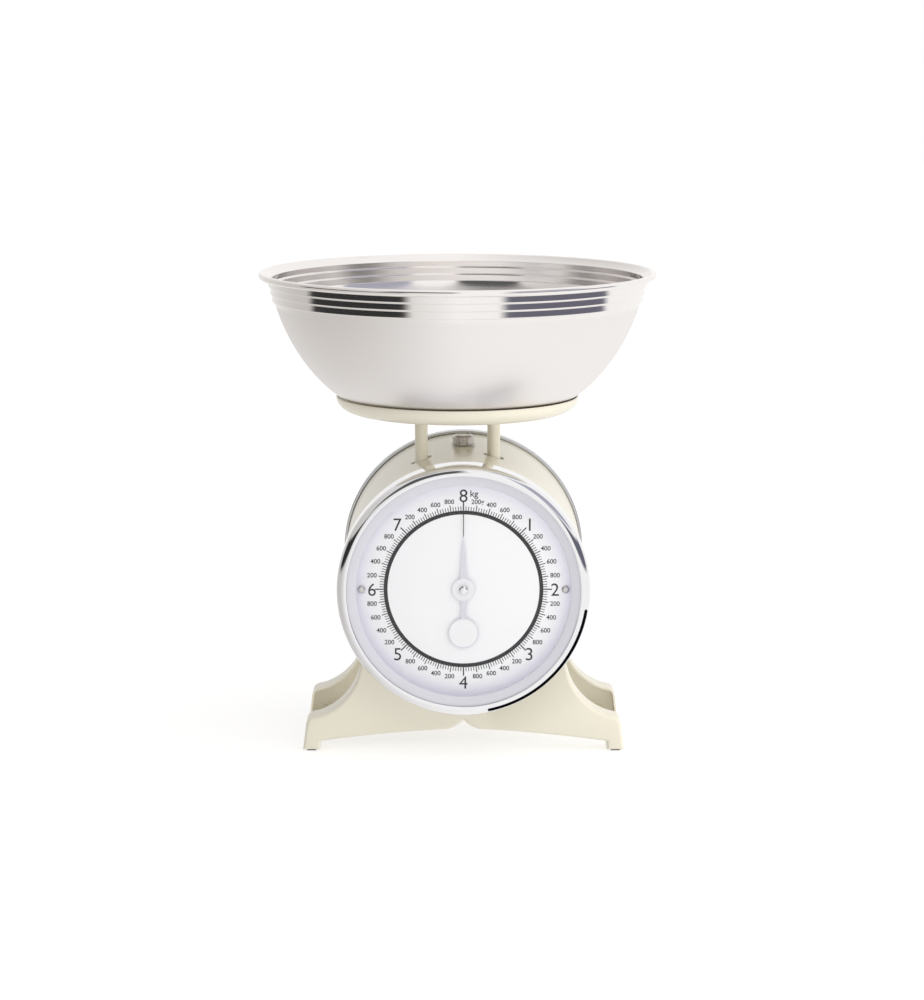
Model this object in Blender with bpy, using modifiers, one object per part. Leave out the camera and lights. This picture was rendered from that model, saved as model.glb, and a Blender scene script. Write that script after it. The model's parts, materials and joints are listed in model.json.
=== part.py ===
"""Mechanical kitchen scale with a round dial, a lift-off bowl and a sliding platform.

Metres, +Z up.  The dial faces -Y, and z = 0 is the table top.  The pieces are made with the
dial's axis at x = 0 and the posts at y = 0.  The posts, the tray and the bowl stand a little to
the left of that axis, so at the end the whole scale moves over until the bowl's axis is at x = 0.
"""

import math

import bmesh
import bpy

# --- Driving dimensions -------------------------------------------------------------------

GAP = 0.0003                    # clearance between two pieces that touch
COVER = 0.001                   # how far a cutter runs past the wall it cuts
MERGE = 0.00001                 # welding distance of turned pieces
SHEET = 0.0012                  # pressed steel sheet

BOWL_DIAMETER = 0.245           # over the rolled lip
BOWL_HEIGHT = 0.0838            # from the flat base to the top of the lip
BOWL_BASE_DIAMETER = 0.100
BOWL_WALL = 0.0010
BOWL_NECK_INSET = 0.0055        # lip edge to the neck below it
BOWL_NECK_DROP = 0.0142         # top of the lip down to the neck
BOWL_SEAT_GAP = 0.0004          # bowl to the tray's rim
BOWL_LIP_RADIUS = 0.0018
BOWL_BEAD = 0.0010              # how far the two beads below the lip stand out

TRAY_DIAMETER = 0.150
TRAY_DEPTH = 0.0105
TRAY_FLAT_DIAMETER = 0.116
TRAY_CLEARANCE = 0.0012         # tray to zero knob with the platform right down

POST_DIAMETER = 0.008
POST_SPACING = 0.045
POST_OFFSET = 0.0037            # dial axis to the middle between the posts, which is to its left
POST_SLOT_SIDE_ROOM = 0.0045    # how much wider the slots are than the posts, across
POST_SLOT_END_ROOM = 0.0015     # and from front to back
RUNNING_FIT = 0.0003            # radial clearance of the pieces that slide or turn

DRUM_DIAMETER = 0.151
DRUM_WALL = 0.0008
DRUM_FRONT = -0.050
DRUM_BACK = 0.084
DRUM_CLEAR_HEIGHT = 0.0287      # underside of the drum above the table

BEZEL_REAR = -0.0464
BEZEL_DEPTH = 0.0206            # from its rear edge to its foremost ring
BEZEL_WALL = 0.0008
BEZEL_ROUND = 0.0052            # rounding of the front edge
BEZEL_LIP = 0.0050              # width of the lip that holds the dial ring
DIAL_RING_WIDTH = 0.0085
DIAL_RING_RISE = 0.0014         # the ring's slope towards the lens
LENS_THICKNESS = 0.0015
SPACER_WALL = 0.0026            # wall of the ring that carries the lens
DIAL_THICKNESS = 0.0008
DIAL_STANDOFF = 0.0047          # bulkhead to the back of the dial

POINTER_REACH = 0.0522
POINTER_THICKNESS = 0.0006
POINTER_HUB_RADIUS = 0.0072
POINTER_ROOT_WIDTH = 0.0044
POINTER_WAIST_WIDTH = 0.0021
POINTER_WAIST = 0.0270          # where the blade gives way to the fine tip
POINTER_TIP_WIDTH = 0.0007
TAIL_WIDTH = 0.0033
TAIL_REACH = 0.0270             # hub to the middle of the counterweight
COUNTERWEIGHT_RADIUS = 0.0093
CAP_RADIUS = 0.0030
CAP_HEIGHT = 0.0018

PINION_MODULE = 0.0004
PINION_TEETH = 14
PINION_FACE = 0.006
RACK_FACE = 0.004
RACK_WIDTH = 0.0055
RACK_TOOTH_SHARE = 0.38         # tooth thickness as a share of the pitch
RACK_BACKLASH = 0.00012         # extra distance from the pinion
RACK_Y = -0.030
RACK_SPARE_TEETH = 3
SHAFT_RADIUS = 0.0015
BUSH_RADIUS = 0.0040
BUSH_FLANGE_RADIUS = 0.0056
BUSH_FLANGE = 0.0010

FRAME_SHEET = 0.0015
FRAME_SIDE_MARGIN = 0.0083      # post axis to the side of the frame
FRAME_DROP = 0.041              # lower shelf below the dial axis
FRAME_WALL_GAP = 0.0048         # upper shelf corner to the drum wall
FRAME_REACH = 0.047             # rear edge of both shelves
BRACKET_WIDTH = 0.036
BRACKET_HEIGHT = 0.012
BRACKET_FLARE = 0.0072          # how much wider the bracket's feet are on each side
BRACKET_BACK = -0.0200
POST_REACH = 0.0035             # post end below the lower shelf
YOKE_THICKNESS = 0.003
YOKE_SIDE_MARGIN = 0.0065       # post axis to the end of the yoke
STOP_HEIGHT = 0.0023
STOP_SPACING = 0.0136
YOKE_FRONT = -0.008
TONGUE_FRONT = -0.0345
TONGUE_WIDTH = 0.0085

SPRING_Y = 0.029                # zero adjuster, hanger and springs
SPRING_SPACING = 0.034
SPRING_RADIUS = 0.0058
SPRING_WIRE = 0.0016
SPRING_TURNS = 7
SPRING_TURN_POINTS = 8
HOOK_RADIUS = 0.0042
HOOK_SLACK = 0.0005             # hook centre to the middle of what it holds
HOOK_POINTS = 8
HOOK_SWEEP = math.radians(300)
HANGER_DROP = 0.013             # hanger bar below the upper shelf
HANGER_BAR_RADIUS = 0.0018
HANGER_BOSS = 0.011
HOOK_STRIP = 0.0036             # strip of the yoke that each spring hooks round

KNOB_DIAMETER = 0.0145
KNOB_HEIGHT = 0.0062
KNOB_CROWN = 0.0114             # the flat top of the knob
KNOB_LIFT = 0.0005
ZERO_SCREW_RADIUS = 0.003
ZERO_SCREW_REACH = 0.022        # below the upper shelf
COLLAR_RADIUS = 0.006
COLLAR_HEIGHT = 0.005

REAR_RIM_RADIAL = 0.0020        # how far the rear rim stands out from the drum
REAR_RIM_LENGTH = 0.008
REAR_RIM_LEDGE = 0.009
REAR_COVER_DOME = 0.003
REAR_COVER_SLOPE = 0.026        # width of the slope between the cover's edge and its flat middle
REAR_SCREWS = 3

STAND_WIDTH = 0.198
STAND_FRONT = -0.046
STAND_BACK = 0.050
STAND_DEPTH = 0.018             # how far the edges are turned back
STAND_EDGE_RADIUS = 0.0025
FOOT_WIDTH = 0.0105
FOOT_HEIGHT = 0.0205
FOOT_TAPER = 0.0020
SHOULDER_HEIGHT = 0.0222
SHOULDER_RUN = 0.0100           # foot edge to the start of the leg's hollow
LEG_SAGITTA = 0.0060
STAND_WRAP = math.radians(52)   # how far the legs reach up round the drum
ARCH_SPRING_HEIGHT = 0.0060
ARCH_CREST_HEIGHT = 0.0136
ARCH_SAGITTA = 0.0009
OGEE_HALF_WIDTH = 0.011
OGEE_PEAK_HEIGHT = 0.0196
OGEE_SAGITTA = 0.0012
PAD_PROUD = 0.0008              # rubber pad below the foot

SCREW_RADIUS = 0.0015
SCREW_HEAD_RADIUS = 0.0029
SCREW_HEAD_HEIGHT = 0.0014
SCREW_LENGTH = 0.0070
DIAL_SCREW_PITCH = 0.0620       # dial axis to each dial screw
DIAL_SCREW_HEAD = 0.0025
SEAT_SCREW_TILT = math.radians(30)

STEPS_LARGE = 48
STEPS_MEDIUM = 24
STEPS_SMALL = 12

# --- Derived places -------------------------------------------------------------------------

DRUM_RADIUS = DRUM_DIAMETER / 2
DRUM_BORE = DRUM_RADIUS - DRUM_WALL
AXIS_Z = DRUM_CLEAR_HEIGHT + DRUM_RADIUS
DRUM_TOP = AXIS_Z + DRUM_RADIUS

PITCH_RADIUS = PINION_MODULE * PINION_TEETH / 2
TRAVEL = 2 * math.pi * PITCH_RADIUS

KNOB_BASE = DRUM_TOP + KNOB_LIFT
KNOB_TOP = KNOB_BASE + KNOB_HEIGHT
TRAY_UNDERSIDE = KNOB_TOP + TRAVEL + TRAY_CLEARANCE
TRAY_FLOOR = TRAY_UNDERSIDE + SHEET
TRAY_RIM = TRAY_UNDERSIDE + TRAY_DEPTH
POST_TOP = TRAY_UNDERSIDE - GAP
POST_X = POST_SPACING / 2
POST_BORE = POST_DIAMETER / 2 + RUNNING_FIT
POST_SLOT_WIDTH = POST_DIAMETER + POST_SLOT_SIDE_ROOM
POST_SLOT_LENGTH = POST_DIAMETER + POST_SLOT_END_ROOM
BOWL_BASE = TRAY_FLOOR + GAP + SCREW_HEAD_HEIGHT + 2 * GAP

FRAME_HALF = POST_OFFSET + POST_X + FRAME_SIDE_MARGIN
FRAME_TOP = AXIS_Z + math.sqrt((DRUM_BORE - FRAME_WALL_GAP) ** 2 - FRAME_HALF ** 2)
FRAME_BOTTOM = AXIS_Z - FRAME_DROP
BULKHEAD_BACK = DRUM_FRONT - GAP
BULKHEAD_FRONT = BULKHEAD_BACK - SHEET
WEB_FRONT = BULKHEAD_BACK + GAP
WEB_BACK = WEB_FRONT + FRAME_SHEET
SHELF_UPPER = FRAME_TOP - FRAME_SHEET
SHELF_LOWER = FRAME_BOTTOM + FRAME_SHEET

BEZEL_FRONT = BEZEL_REAR - BEZEL_DEPTH
BEZEL_BORE = DRUM_RADIUS + 2 * GAP
BEZEL_RADIUS = BEZEL_BORE + BEZEL_WALL
BEZEL_LIP_RADIUS = BEZEL_RADIUS - BEZEL_ROUND
RING_RADIUS = BEZEL_BORE - BEZEL_LIP / 2
RING_BORE = RING_RADIUS - DIAL_RING_WIDTH
RING_BACK = BEZEL_FRONT + BEZEL_WALL + GAP + SHEET + DIAL_RING_RISE
LENS_FRONT = RING_BACK + GAP
LENS_BACK = LENS_FRONT + LENS_THICKNESS
LENS_RADIUS = RING_RADIUS - 2 * GAP
SPACER_BORE = LENS_RADIUS - SPACER_WALL
DIAL_BACK = BULKHEAD_FRONT - DIAL_STANDOFF
DIAL_FRONT = DIAL_BACK - DIAL_THICKNESS
DIAL_RADIUS = SPACER_BORE - 2 * GAP
POINTER_BACK = DIAL_FRONT - 4 * GAP
POINTER_FRONT = POINTER_BACK - POINTER_THICKNESS

STOP_TOP = SHELF_LOWER + GAP + STOP_HEIGHT
YOKE_BOTTOM = STOP_TOP + GAP + TRAVEL
YOKE_TOP = YOKE_BOTTOM + YOKE_THICKNESS
YOKE_BACK = SPRING_Y + HOOK_STRIP / 2
SPRING_X = SPRING_SPACING / 2
HANGER_Z = SHELF_UPPER - HANGER_DROP
POST_BOTTOM = FRAME_BOTTOM - POST_REACH
STAND_BORE = DRUM_RADIUS + GAP
STAND_FOOT_Z = PAD_PROUD

IVORY = (0.80, 0.745, 0.62)
WHITE = (0.86, 0.86, 0.85)
SILVER = (0.62, 0.62, 0.63)
STEEL = (0.45, 0.45, 0.46)
BRASS = (0.62, 0.45, 0.16)
BLACK = (0.03, 0.03, 0.03)
GLASS = (0.90, 0.93, 0.93)
NYLON = (0.75, 0.73, 0.66)
LILAC_GREY = (0.58, 0.57, 0.62)


# --- Scene, materials and small tools --------------------------------------------------------

def clear_scene():
    """Remove every object and collection that the file starts with."""
    for item in list(bpy.data.objects):
        bpy.data.objects.remove(item, do_unlink=True)
    for group in list(bpy.data.collections):
        bpy.data.collections.remove(group)


def new_collection(name):
    """Return a new collection linked to the scene."""
    group = bpy.data.collections.new(name)
    bpy.context.scene.collection.children.link(group)
    return group


clear_scene()
PARTS = new_collection("kitchen_scale")
CUTTERS = new_collection("cutters")


def finish(name, colour, roughness, metallic=0.0):
    """Give the piece its own Principled material."""
    material = bpy.data.materials.new(name + "_finish")
    material.use_nodes = True
    shader = material.node_tree.nodes["Principled BSDF"]
    shader.inputs["Base Color"].default_value = (*colour, 1.0)
    shader.inputs["Roughness"].default_value = roughness
    shader.inputs["Metallic"].default_value = metallic
    return material


def place(name, mesh, look, at, turn=(0.0, 0.0, 0.0)):
    """Make the mesh an object of the model at its place."""
    item = bpy.data.objects.new(name, mesh)
    PARTS.objects.link(item)
    item.location = at
    item.rotation_euler = turn
    mesh.materials.clear()
    mesh.materials.append(finish(name, *look))
    return item


FRONTWARD = (math.pi / 2, 0.0, 0.0)             # local +Z becomes world -Y
SIDEWARD = (math.pi / 2, 0.0, math.pi / 2)      # local X, Y, Z become world Y, Z, X
PAINT = (IVORY, 0.32, 0.0)
CHROME = (SILVER, 0.08, 1.0)
ZINC = (STEEL, 0.35, 1.0)
YELLOW_BRASS = (BRASS, 0.3, 1.0)
RUBBER = (BLACK, 0.8, 0.0)
PLASTIC = (NYLON, 0.45, 0.0)


def turned(name, profile, look, at, turn=(0.0, 0.0, 0.0), steps=STEPS_MEDIUM, ring=False):
    """Turn a profile of (radius, height) points about local Z.

    An outline runs from the top down its outer side.  A ring's last point joins its first.
    """
    mesh = bpy.data.meshes.new(name)
    bm = bmesh.new()
    verts = [bm.verts.new((radius, 0.0, height)) for radius, height in profile]
    for first, second in zip(verts, verts[1:]):
        bm.edges.new((first, second))
    if ring:
        bm.edges.new((verts[-1], verts[0]))
    bm.to_mesh(mesh)
    bm.free()
    item = place(name, mesh, look, at, turn)
    screw = item.modifiers.new("turn", "SCREW")
    screw.axis = "Z"
    screw.angle = 2 * math.pi
    screw.steps = steps
    screw.render_steps = steps
    screw.use_merge_vertices = True
    screw.merge_threshold = MERGE
    screw.use_smooth_shade = True
    return item


def outline_mesh(name, outlines, thickness):
    """Return a flat plate of the outlines; the first is the rim and the others are holes."""
    curve = bpy.data.curves.new(name, "CURVE")
    curve.dimensions = "2D"
    curve.fill_mode = "BOTH"
    curve.extrude = thickness / 2
    for outline in outlines:
        spline = curve.splines.new("POLY")
        spline.points.add(len(outline) - 1)
        for point, (x, y) in zip(spline.points, outline):
            point.co = (x, y, 0.0, 1.0)
        spline.use_cyclic_u = True
    return curve_to_mesh(name, curve)


def curve_to_mesh(name, curve):
    """Turn a curve into a welded mesh and remove the curve."""
    guide = bpy.data.objects.new(name + "_curve", curve)
    CUTTERS.objects.link(guide)
    bpy.context.view_layer.update()
    evaluated = guide.evaluated_get(bpy.context.evaluated_depsgraph_get())
    mesh = bpy.data.meshes.new_from_object(evaluated)
    mesh.name = name
    bpy.data.objects.remove(guide, do_unlink=True)
    bm = bmesh.new()
    bm.from_mesh(mesh)
    bmesh.ops.remove_doubles(bm, verts=bm.verts, dist=MERGE)
    bmesh.ops.recalc_face_normals(bm, faces=bm.faces)
    bm.to_mesh(mesh)
    bm.free()
    return mesh


def plate(name, outlines, thickness, look, at, turn=(0.0, 0.0, 0.0)):
    """Place a flat plate whose middle plane is at the given place."""
    return place(name, outline_mesh(name, outlines, thickness), look, at, turn)


def circle(radius, x=0.0, y=0.0, count=STEPS_SMALL, start=0.0, sweep=2 * math.pi):
    """Return points round a circle, or along an arc of it."""
    steps = count if sweep >= 2 * math.pi else count - 1
    return [
        (x + radius * math.cos(start + sweep * i / steps), y + radius * math.sin(start + sweep * i / steps))
        for i in range(count)
    ]


def bow(first, last, sagitta, count):
    """Return points along an arc between two points, bowed to the left by the sagitta."""
    length = math.hypot(last[0] - first[0], last[1] - first[1])
    along = ((last[0] - first[0]) / length, (last[1] - first[1]) / length)
    left = (-along[1], along[0])
    radius = (length ** 2 / 4 + sagitta ** 2) / (2 * abs(sagitta))
    side = math.copysign(1.0, sagitta)
    points = []
    for i in range(count):
        run = length * i / (count - 1)
        rise = math.sqrt(radius ** 2 - (run - length / 2) ** 2) - (radius - abs(sagitta))
        out = rise * side
        points.append((first[0] + along[0] * run + left[0] * out, first[1] + along[1] * run + left[1] * out))
    return points


def bezier(start, pull_start, pull_end, end, count):
    """Return points along a cubic curve."""
    points = []
    for i in range(count):
        t = i / (count - 1)
        shares = ((1 - t) ** 3, 3 * t * (1 - t) ** 2, 3 * t ** 2 * (1 - t), t ** 3)
        points.append(
            tuple(
                sum(share * point[axis] for share, point in zip(shares, (start, pull_start, pull_end, end)))
                for axis in range(2)
            )
        )
    return points


def offset_line(points, distance):
    """Return the line of points moved to its left by the distance."""
    moved = []
    for i, (x, y) in enumerate(points):
        before = points[max(i - 1, 0)]
        after = points[min(i + 1, len(points) - 1)]
        run = (after[0] - before[0], after[1] - before[1])
        length = math.hypot(*run)
        moved.append((x - run[1] / length * distance, y + run[0] / length * distance))
    return moved


def cutter(mesh_name, radius, depth, at, turn=(0.0, 0.0, 0.0), stretch=0.0):
    """Return a round cutter, or a slot cutter stretched along local X."""
    half = stretch / 2
    right = circle(radius, half, 0.0, STEPS_SMALL, -math.pi / 2, math.pi)
    left = circle(radius, -half, 0.0, STEPS_SMALL, math.pi / 2, math.pi)
    outline = right + left if stretch else circle(radius)
    item = bpy.data.objects.new(mesh_name, outline_mesh(mesh_name, [outline], depth))
    CUTTERS.objects.link(item)
    item.location = at
    item.rotation_euler = turn
    item.display_type = "WIRE"
    item.hide_render = True
    return item


def cut(item, tool):
    """Take the tool's shape out of the item."""
    boolean = item.modifiers.new("cut_" + tool.name, "BOOLEAN")
    boolean.operation = "DIFFERENCE"
    boolean.object = tool


def screw(name, at, turn=(0.0, 0.0, 0.0), length=SCREW_LENGTH, head=SCREW_HEAD_RADIUS):
    """Place a round-headed screw; the head's underside is at local z = 0 and faces -Z."""
    crown = [
        (0.0, SCREW_HEAD_HEIGHT),
        (head * 0.55, SCREW_HEAD_HEIGHT * 0.86),
        (head, SCREW_HEAD_HEIGHT * 0.35),
        (head, 0.0),
    ]
    shank = [(SCREW_RADIUS, 0.0), (SCREW_RADIUS, -length + SCREW_RADIUS), (0.0, -length)]
    return turned(name, crown + shank, ZINC, at, turn, STEPS_SMALL)


def tube_profile(inner, outer, bottom, top):
    """Return the ring profile of a plain tube."""
    return [(inner, top), (outer, top), (outer, bottom), (inner, bottom)]


# --- Bowl and tray -----------------------------------------------------------------------------

def post_place(sign):
    """Return the x of the left post, for -1, or of the right one, for 1."""
    return -POST_OFFSET + sign * POST_X


def between(start, end, across, along):
    """Return the point at the given shares of the way from start to end."""
    return (start[0] + across * (end[0] - start[0]), start[1] + along * (end[1] - start[1]))


def bowl_side():
    """Return the bowl's outer side from the base up to the neck, as (radius, height).

    The side passes just inside the tray's rim, where the bowl is centred.
    """
    base = (BOWL_BASE_DIAMETER / 2, 0.0)
    seat = (TRAY_DIAMETER / 2 - SHEET - BOWL_SEAT_GAP, TRAY_RIM + GAP - BOWL_BASE)
    neck = (BOWL_DIAMETER / 2 - BOWL_NECK_INSET, BOWL_HEIGHT - BOWL_NECK_DROP)
    foot = bezier(base, between(base, seat, 0.33, 0.0), between(base, seat, 0.67, 0.365), seat, 5)
    body = bezier(seat, between(seat, neck, 0.43, 0.194), between(seat, neck, 0.826, 0.58), neck, 7)
    return foot[:-1] + body


def make_bowl():
    """Make the spun bowl with two beads below its rolled lip."""
    side = bowl_side()
    neck, height = side[-1]
    lip = BOWL_DIAMETER / 2 - BOWL_LIP_RADIUS
    lip_height = BOWL_HEIGHT - BOWL_LIP_RADIUS
    rise = (lip_height - height) / 6
    beads = []
    for i in (1, 3):
        beads.append((neck + BOWL_BEAD, height + rise * i))
        beads.append((neck, height + rise * (i + 1)))
    wall = [(0.0, 0.0)] + side + beads
    inner = offset_line(wall, BOWL_WALL)
    inner[0] = (0.0, BOWL_WALL)
    roll = [
        (lip + BOWL_LIP_RADIUS * math.cos(angle), lip_height + BOWL_LIP_RADIUS * math.sin(angle))
        for angle in (math.radians(135 - 45 * i) for i in range(7))
    ]
    profile = inner + roll + list(reversed(wall))
    turned("bowl", profile, (SILVER, 0.22, 1.0), (-POST_OFFSET, 0.0, BOWL_BASE), steps=STEPS_LARGE)


def make_tray():
    """Make the shallow dish that the bowl stands in, with a screw over each post."""
    flat = TRAY_FLAT_DIAMETER / 2
    rim = TRAY_DIAMETER / 2
    pull = flat + (rim - flat) * 0.55
    side = bezier((flat, 0.0), (pull, 0.0), (rim, TRAY_DEPTH * 0.3), (rim, TRAY_DEPTH), 7)
    under = [(0.0, 0.0)] + side
    upper = offset_line(under, SHEET)
    upper[0] = (0.0, SHEET)
    upper[-1] = (rim - SHEET, TRAY_DEPTH)
    tray = turned("tray", upper + list(reversed(under)), PAINT, (-POST_OFFSET, 0.0, TRAY_UNDERSIDE), steps=STEPS_LARGE)
    for side_name, sign in (("left", -1), ("right", 1)):
        x = post_place(sign)
        middle = (x, 0.0, TRAY_UNDERSIDE + SHEET / 2)
        cut(tray, cutter("tray_hole_" + side_name, SCREW_RADIUS + GAP, SHEET + 2 * COVER, middle))
        screw("tray_screw_" + side_name, (x, 0.0, TRAY_FLOOR + GAP), length=SCREW_LENGTH + SHEET)


def make_posts():
    """Make the two posts that carry the tray, each with a threaded hole in its top."""
    radius = POST_DIAMETER / 2
    bore = SCREW_RADIUS + GAP
    depth = SCREW_LENGTH + 2 * COVER
    for side_name, sign in (("left", -1), ("right", 1)):
        length = POST_TOP - POST_BOTTOM
        profile = [
            (0.0, length - depth),
            (bore, length - depth),
            (bore, length),
            (radius, length),
            (radius, 2 * GAP),
            (radius - 2 * GAP, 0.0),
            (0.0, 0.0),
        ]
        turned("post_" + side_name, profile, PAINT, (post_place(sign), 0.0, POST_BOTTOM), steps=STEPS_MEDIUM)


# --- Housing -------------------------------------------------------------------------------------

def seat_screw_place(sign, depth_y):
    """Return the place and turn of a screw that goes up through a stand into the drum."""
    out = STAND_BORE + SHEET + GAP
    angle = sign * SEAT_SCREW_TILT
    at = (out * math.sin(angle), depth_y, AXIS_Z - out * math.cos(angle))
    return at, (0.0, math.pi - angle, 0.0)


def seat_screw_rows():
    """Return the name and depth of the row of screws in each stand."""
    middle = STAND_DEPTH * 0.55
    return (("front", STAND_FRONT + middle), ("rear", STAND_BACK - middle))


def make_drum():
    """Make the drum with its post slots, the zero screw's hole and the stands' screw holes."""
    middle = (DRUM_FRONT + DRUM_BACK) / 2
    half = (DRUM_BACK - DRUM_FRONT) / 2
    drum = turned(
        "drum_shell",
        tube_profile(DRUM_BORE, DRUM_RADIUS, -half, half),
        PAINT,
        (0.0, middle, AXIS_Z),
        FRONTWARD,
        STEPS_LARGE,
        ring=True,
    )
    through = 2 * DRUM_RADIUS * 0.2
    for side_name, sign in (("left", -1), ("right", 1)):
        cut(
            drum,
            cutter(
                "post_slot_" + side_name,
                POST_SLOT_LENGTH / 2,
                through,
                (post_place(sign), 0.0, DRUM_TOP),
                stretch=POST_SLOT_WIDTH - POST_SLOT_LENGTH,
            ),
        )
    cut(drum, cutter("zero_hole", ZERO_SCREW_RADIUS + 2 * GAP, through, (0.0, SPRING_Y, DRUM_TOP)))
    for row, depth_y in seat_screw_rows():
        for sign in (-1, 1):
            at, turn = seat_screw_place(sign, depth_y)
            cut(drum, cutter("seat_hole_%s_%d" % (row, sign), SCREW_RADIUS + GAP, 4 * SCREW_LENGTH, at, turn))


def make_bulkhead():
    """Make the disc that closes the drum's front and carries the movement and the dial."""
    holes = [circle(BUSH_RADIUS + GAP)]
    holes += [circle(SCREW_RADIUS + GAP, sign * DIAL_SCREW_PITCH) for sign in (-1, 1)]
    holes += [circle(SCREW_RADIUS + GAP, x, z - AXIS_Z) for x, z in frame_screw_places()]
    rim = circle(DRUM_RADIUS - GAP, count=STEPS_LARGE)
    plate(
        "front_bulkhead",
        [rim] + holes,
        SHEET,
        ZINC,
        (0.0, (BULKHEAD_BACK + BULKHEAD_FRONT) / 2, AXIS_Z),
        FRONTWARD,
    )


def make_bezel():
    """Make the chrome bezel, the inner dial ring, the lens and the ring that carries it."""
    height = BEZEL_DEPTH
    outer = [
        (BEZEL_RADIUS - BEZEL_ROUND * (1 - math.sin(angle)), height - BEZEL_ROUND * (1 - math.cos(angle)))
        for angle in (math.radians(90 * i / 5) for i in range(6))
    ]
    inner_round = BEZEL_ROUND - BEZEL_WALL
    inner = [
        (
            BEZEL_BORE - inner_round * (1 - math.sin(angle)),
            height - BEZEL_WALL - inner_round * (1 - math.cos(angle)),
        )
        for angle in (math.radians(90 * i / 4) for i in range(4, -1, -1))
    ]
    profile = (
        [(BEZEL_LIP_RADIUS - BEZEL_WALL, height - BEZEL_WALL), (BEZEL_LIP_RADIUS - BEZEL_WALL / 2, height)]
        + outer
        + [(BEZEL_RADIUS, 0.0), (BEZEL_BORE, 0.0)]
        + inner
    )
    turned("bezel", profile, CHROME, (0.0, BEZEL_REAR, AXIS_Z), FRONTWARD, STEPS_LARGE, ring=True)

    ring = [
        (RING_BORE, SHEET),
        (RING_RADIUS - BEZEL_ROUND / 2, SHEET + DIAL_RING_RISE),
        (RING_RADIUS - BEZEL_ROUND / 2, 0.0),
        (RING_BORE, 0.0),
    ]
    at = (0.0, RING_BACK, AXIS_Z)
    turned("dial_ring", ring, (LILAC_GREY, 0.3, 0.2), at, FRONTWARD, STEPS_LARGE, ring=True)
    lens = [(0.0, LENS_THICKNESS), (LENS_RADIUS, LENS_THICKNESS), (LENS_RADIUS, 0.0), (0.0, 0.0)]
    turned("lens", lens, (GLASS, 0.03, 0.0), (0.0, LENS_BACK, AXIS_Z), FRONTWARD, STEPS_LARGE)
    length = BULKHEAD_FRONT - GAP - (LENS_BACK + GAP)
    turned(
        "lens_spacer",
        tube_profile(SPACER_BORE, LENS_RADIUS, 0.0, length),
        (WHITE, 0.5, 0.0),
        (0.0, BULKHEAD_FRONT - GAP, AXIS_Z),
        FRONTWARD,
        STEPS_LARGE,
        ring=True,
    )


def make_rear():
    """Make the rear rim, the domed rear cover and its screws."""
    outer = DRUM_RADIUS + REAR_RIM_RADIAL
    bore = DRUM_RADIUS + GAP
    ledge = DRUM_BORE - REAR_RIM_LEDGE
    back = DRUM_BACK + GAP
    start = back + SHEET
    length = REAR_RIM_LENGTH
    rim = [
        (bore, length),
        (outer, length),
        (outer, 2 * GAP),
        (outer - 2 * GAP, 0.0),
        (ledge, 0.0),
        (ledge, SHEET),
        (bore, SHEET),
    ]
    at = (0.0, start, AXIS_Z)
    rim_item = turned("rear_rim", rim, (SILVER, 0.25, 1.0), at, FRONTWARD, STEPS_LARGE, ring=True)

    radius = outer - 2 * COVER
    flat = ledge - REAR_COVER_SLOPE
    under = [(0.0, -REAR_COVER_DOME), (flat, -REAR_COVER_DOME), (ledge, 0.0), (radius, 0.0)]
    inside = [(out, depth + SHEET) for out, depth in under]
    cover_y = start + GAP + SHEET
    at = (0.0, cover_y, AXIS_Z)
    cover = turned("rear_cover", inside + list(reversed(under)), PAINT, at, FRONTWARD, STEPS_LARGE)
    pitch = (ledge + radius) / 2
    for i in range(REAR_SCREWS):
        angle = math.radians(90) + 2 * math.pi * i / REAR_SCREWS
        x = pitch * math.cos(angle)
        z = AXIS_Z + pitch * math.sin(angle)
        hole = cutter("rear_hole_%d" % (i + 1), SCREW_RADIUS + GAP, 10 * SHEET, (x, cover_y, z), FRONTWARD)
        cut(rim_item, hole)
        cut(cover, hole)
        at = (x, cover_y + GAP, z)
        screw("rear_screw_%d" % (i + 1), at, (-math.pi / 2, 0.0, 0.0), head=SCREW_HEAD_RADIUS)


# --- Stands ----------------------------------------------------------------------------------------

def stand_outline():
    """Return the stand's outline, seen from the front, with the drum's axis at its true height."""
    half = STAND_WIDTH / 2
    inner_foot = half - FOOT_WIDTH
    shoulder = (half - SHOULDER_RUN, SHOULDER_HEIGHT)
    wrap = (STAND_BORE * math.sin(STAND_WRAP), AXIS_Z - STAND_BORE * math.cos(STAND_WRAP))
    side = [
        (half, STAND_FOOT_Z),
        (half - FOOT_TAPER, FOOT_HEIGHT - FOOT_TAPER),
        (half - 2 * FOOT_TAPER, FOOT_HEIGHT),
        (half - 4 * FOOT_TAPER, (FOOT_HEIGHT + SHOULDER_HEIGHT) / 2),
    ]
    side += bow(shoulder, wrap, LEG_SAGITTA, 8)
    start = -math.pi / 2 + STAND_WRAP
    seat = circle(STAND_BORE, 0.0, AXIS_Z, 20, start, -2 * STAND_WRAP)
    crest = (OGEE_HALF_WIDTH, ARCH_CREST_HEIGHT)
    right_arch = bow(crest, (inner_foot, ARCH_SPRING_HEIGHT), ARCH_SAGITTA, 7)
    ogee = bow((0.0, OGEE_PEAK_HEIGHT), crest, -OGEE_SAGITTA, 5)
    under = ogee[:-1] + right_arch + [(inner_foot, STAND_FOOT_Z)]
    mirrored_side = [(-x, z) for x, z in reversed(side)]
    mirrored_under = [(-x, z) for x, z in reversed(under)]
    return side + seat[1:-1] + mirrored_side + mirrored_under + under[1:]


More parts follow.
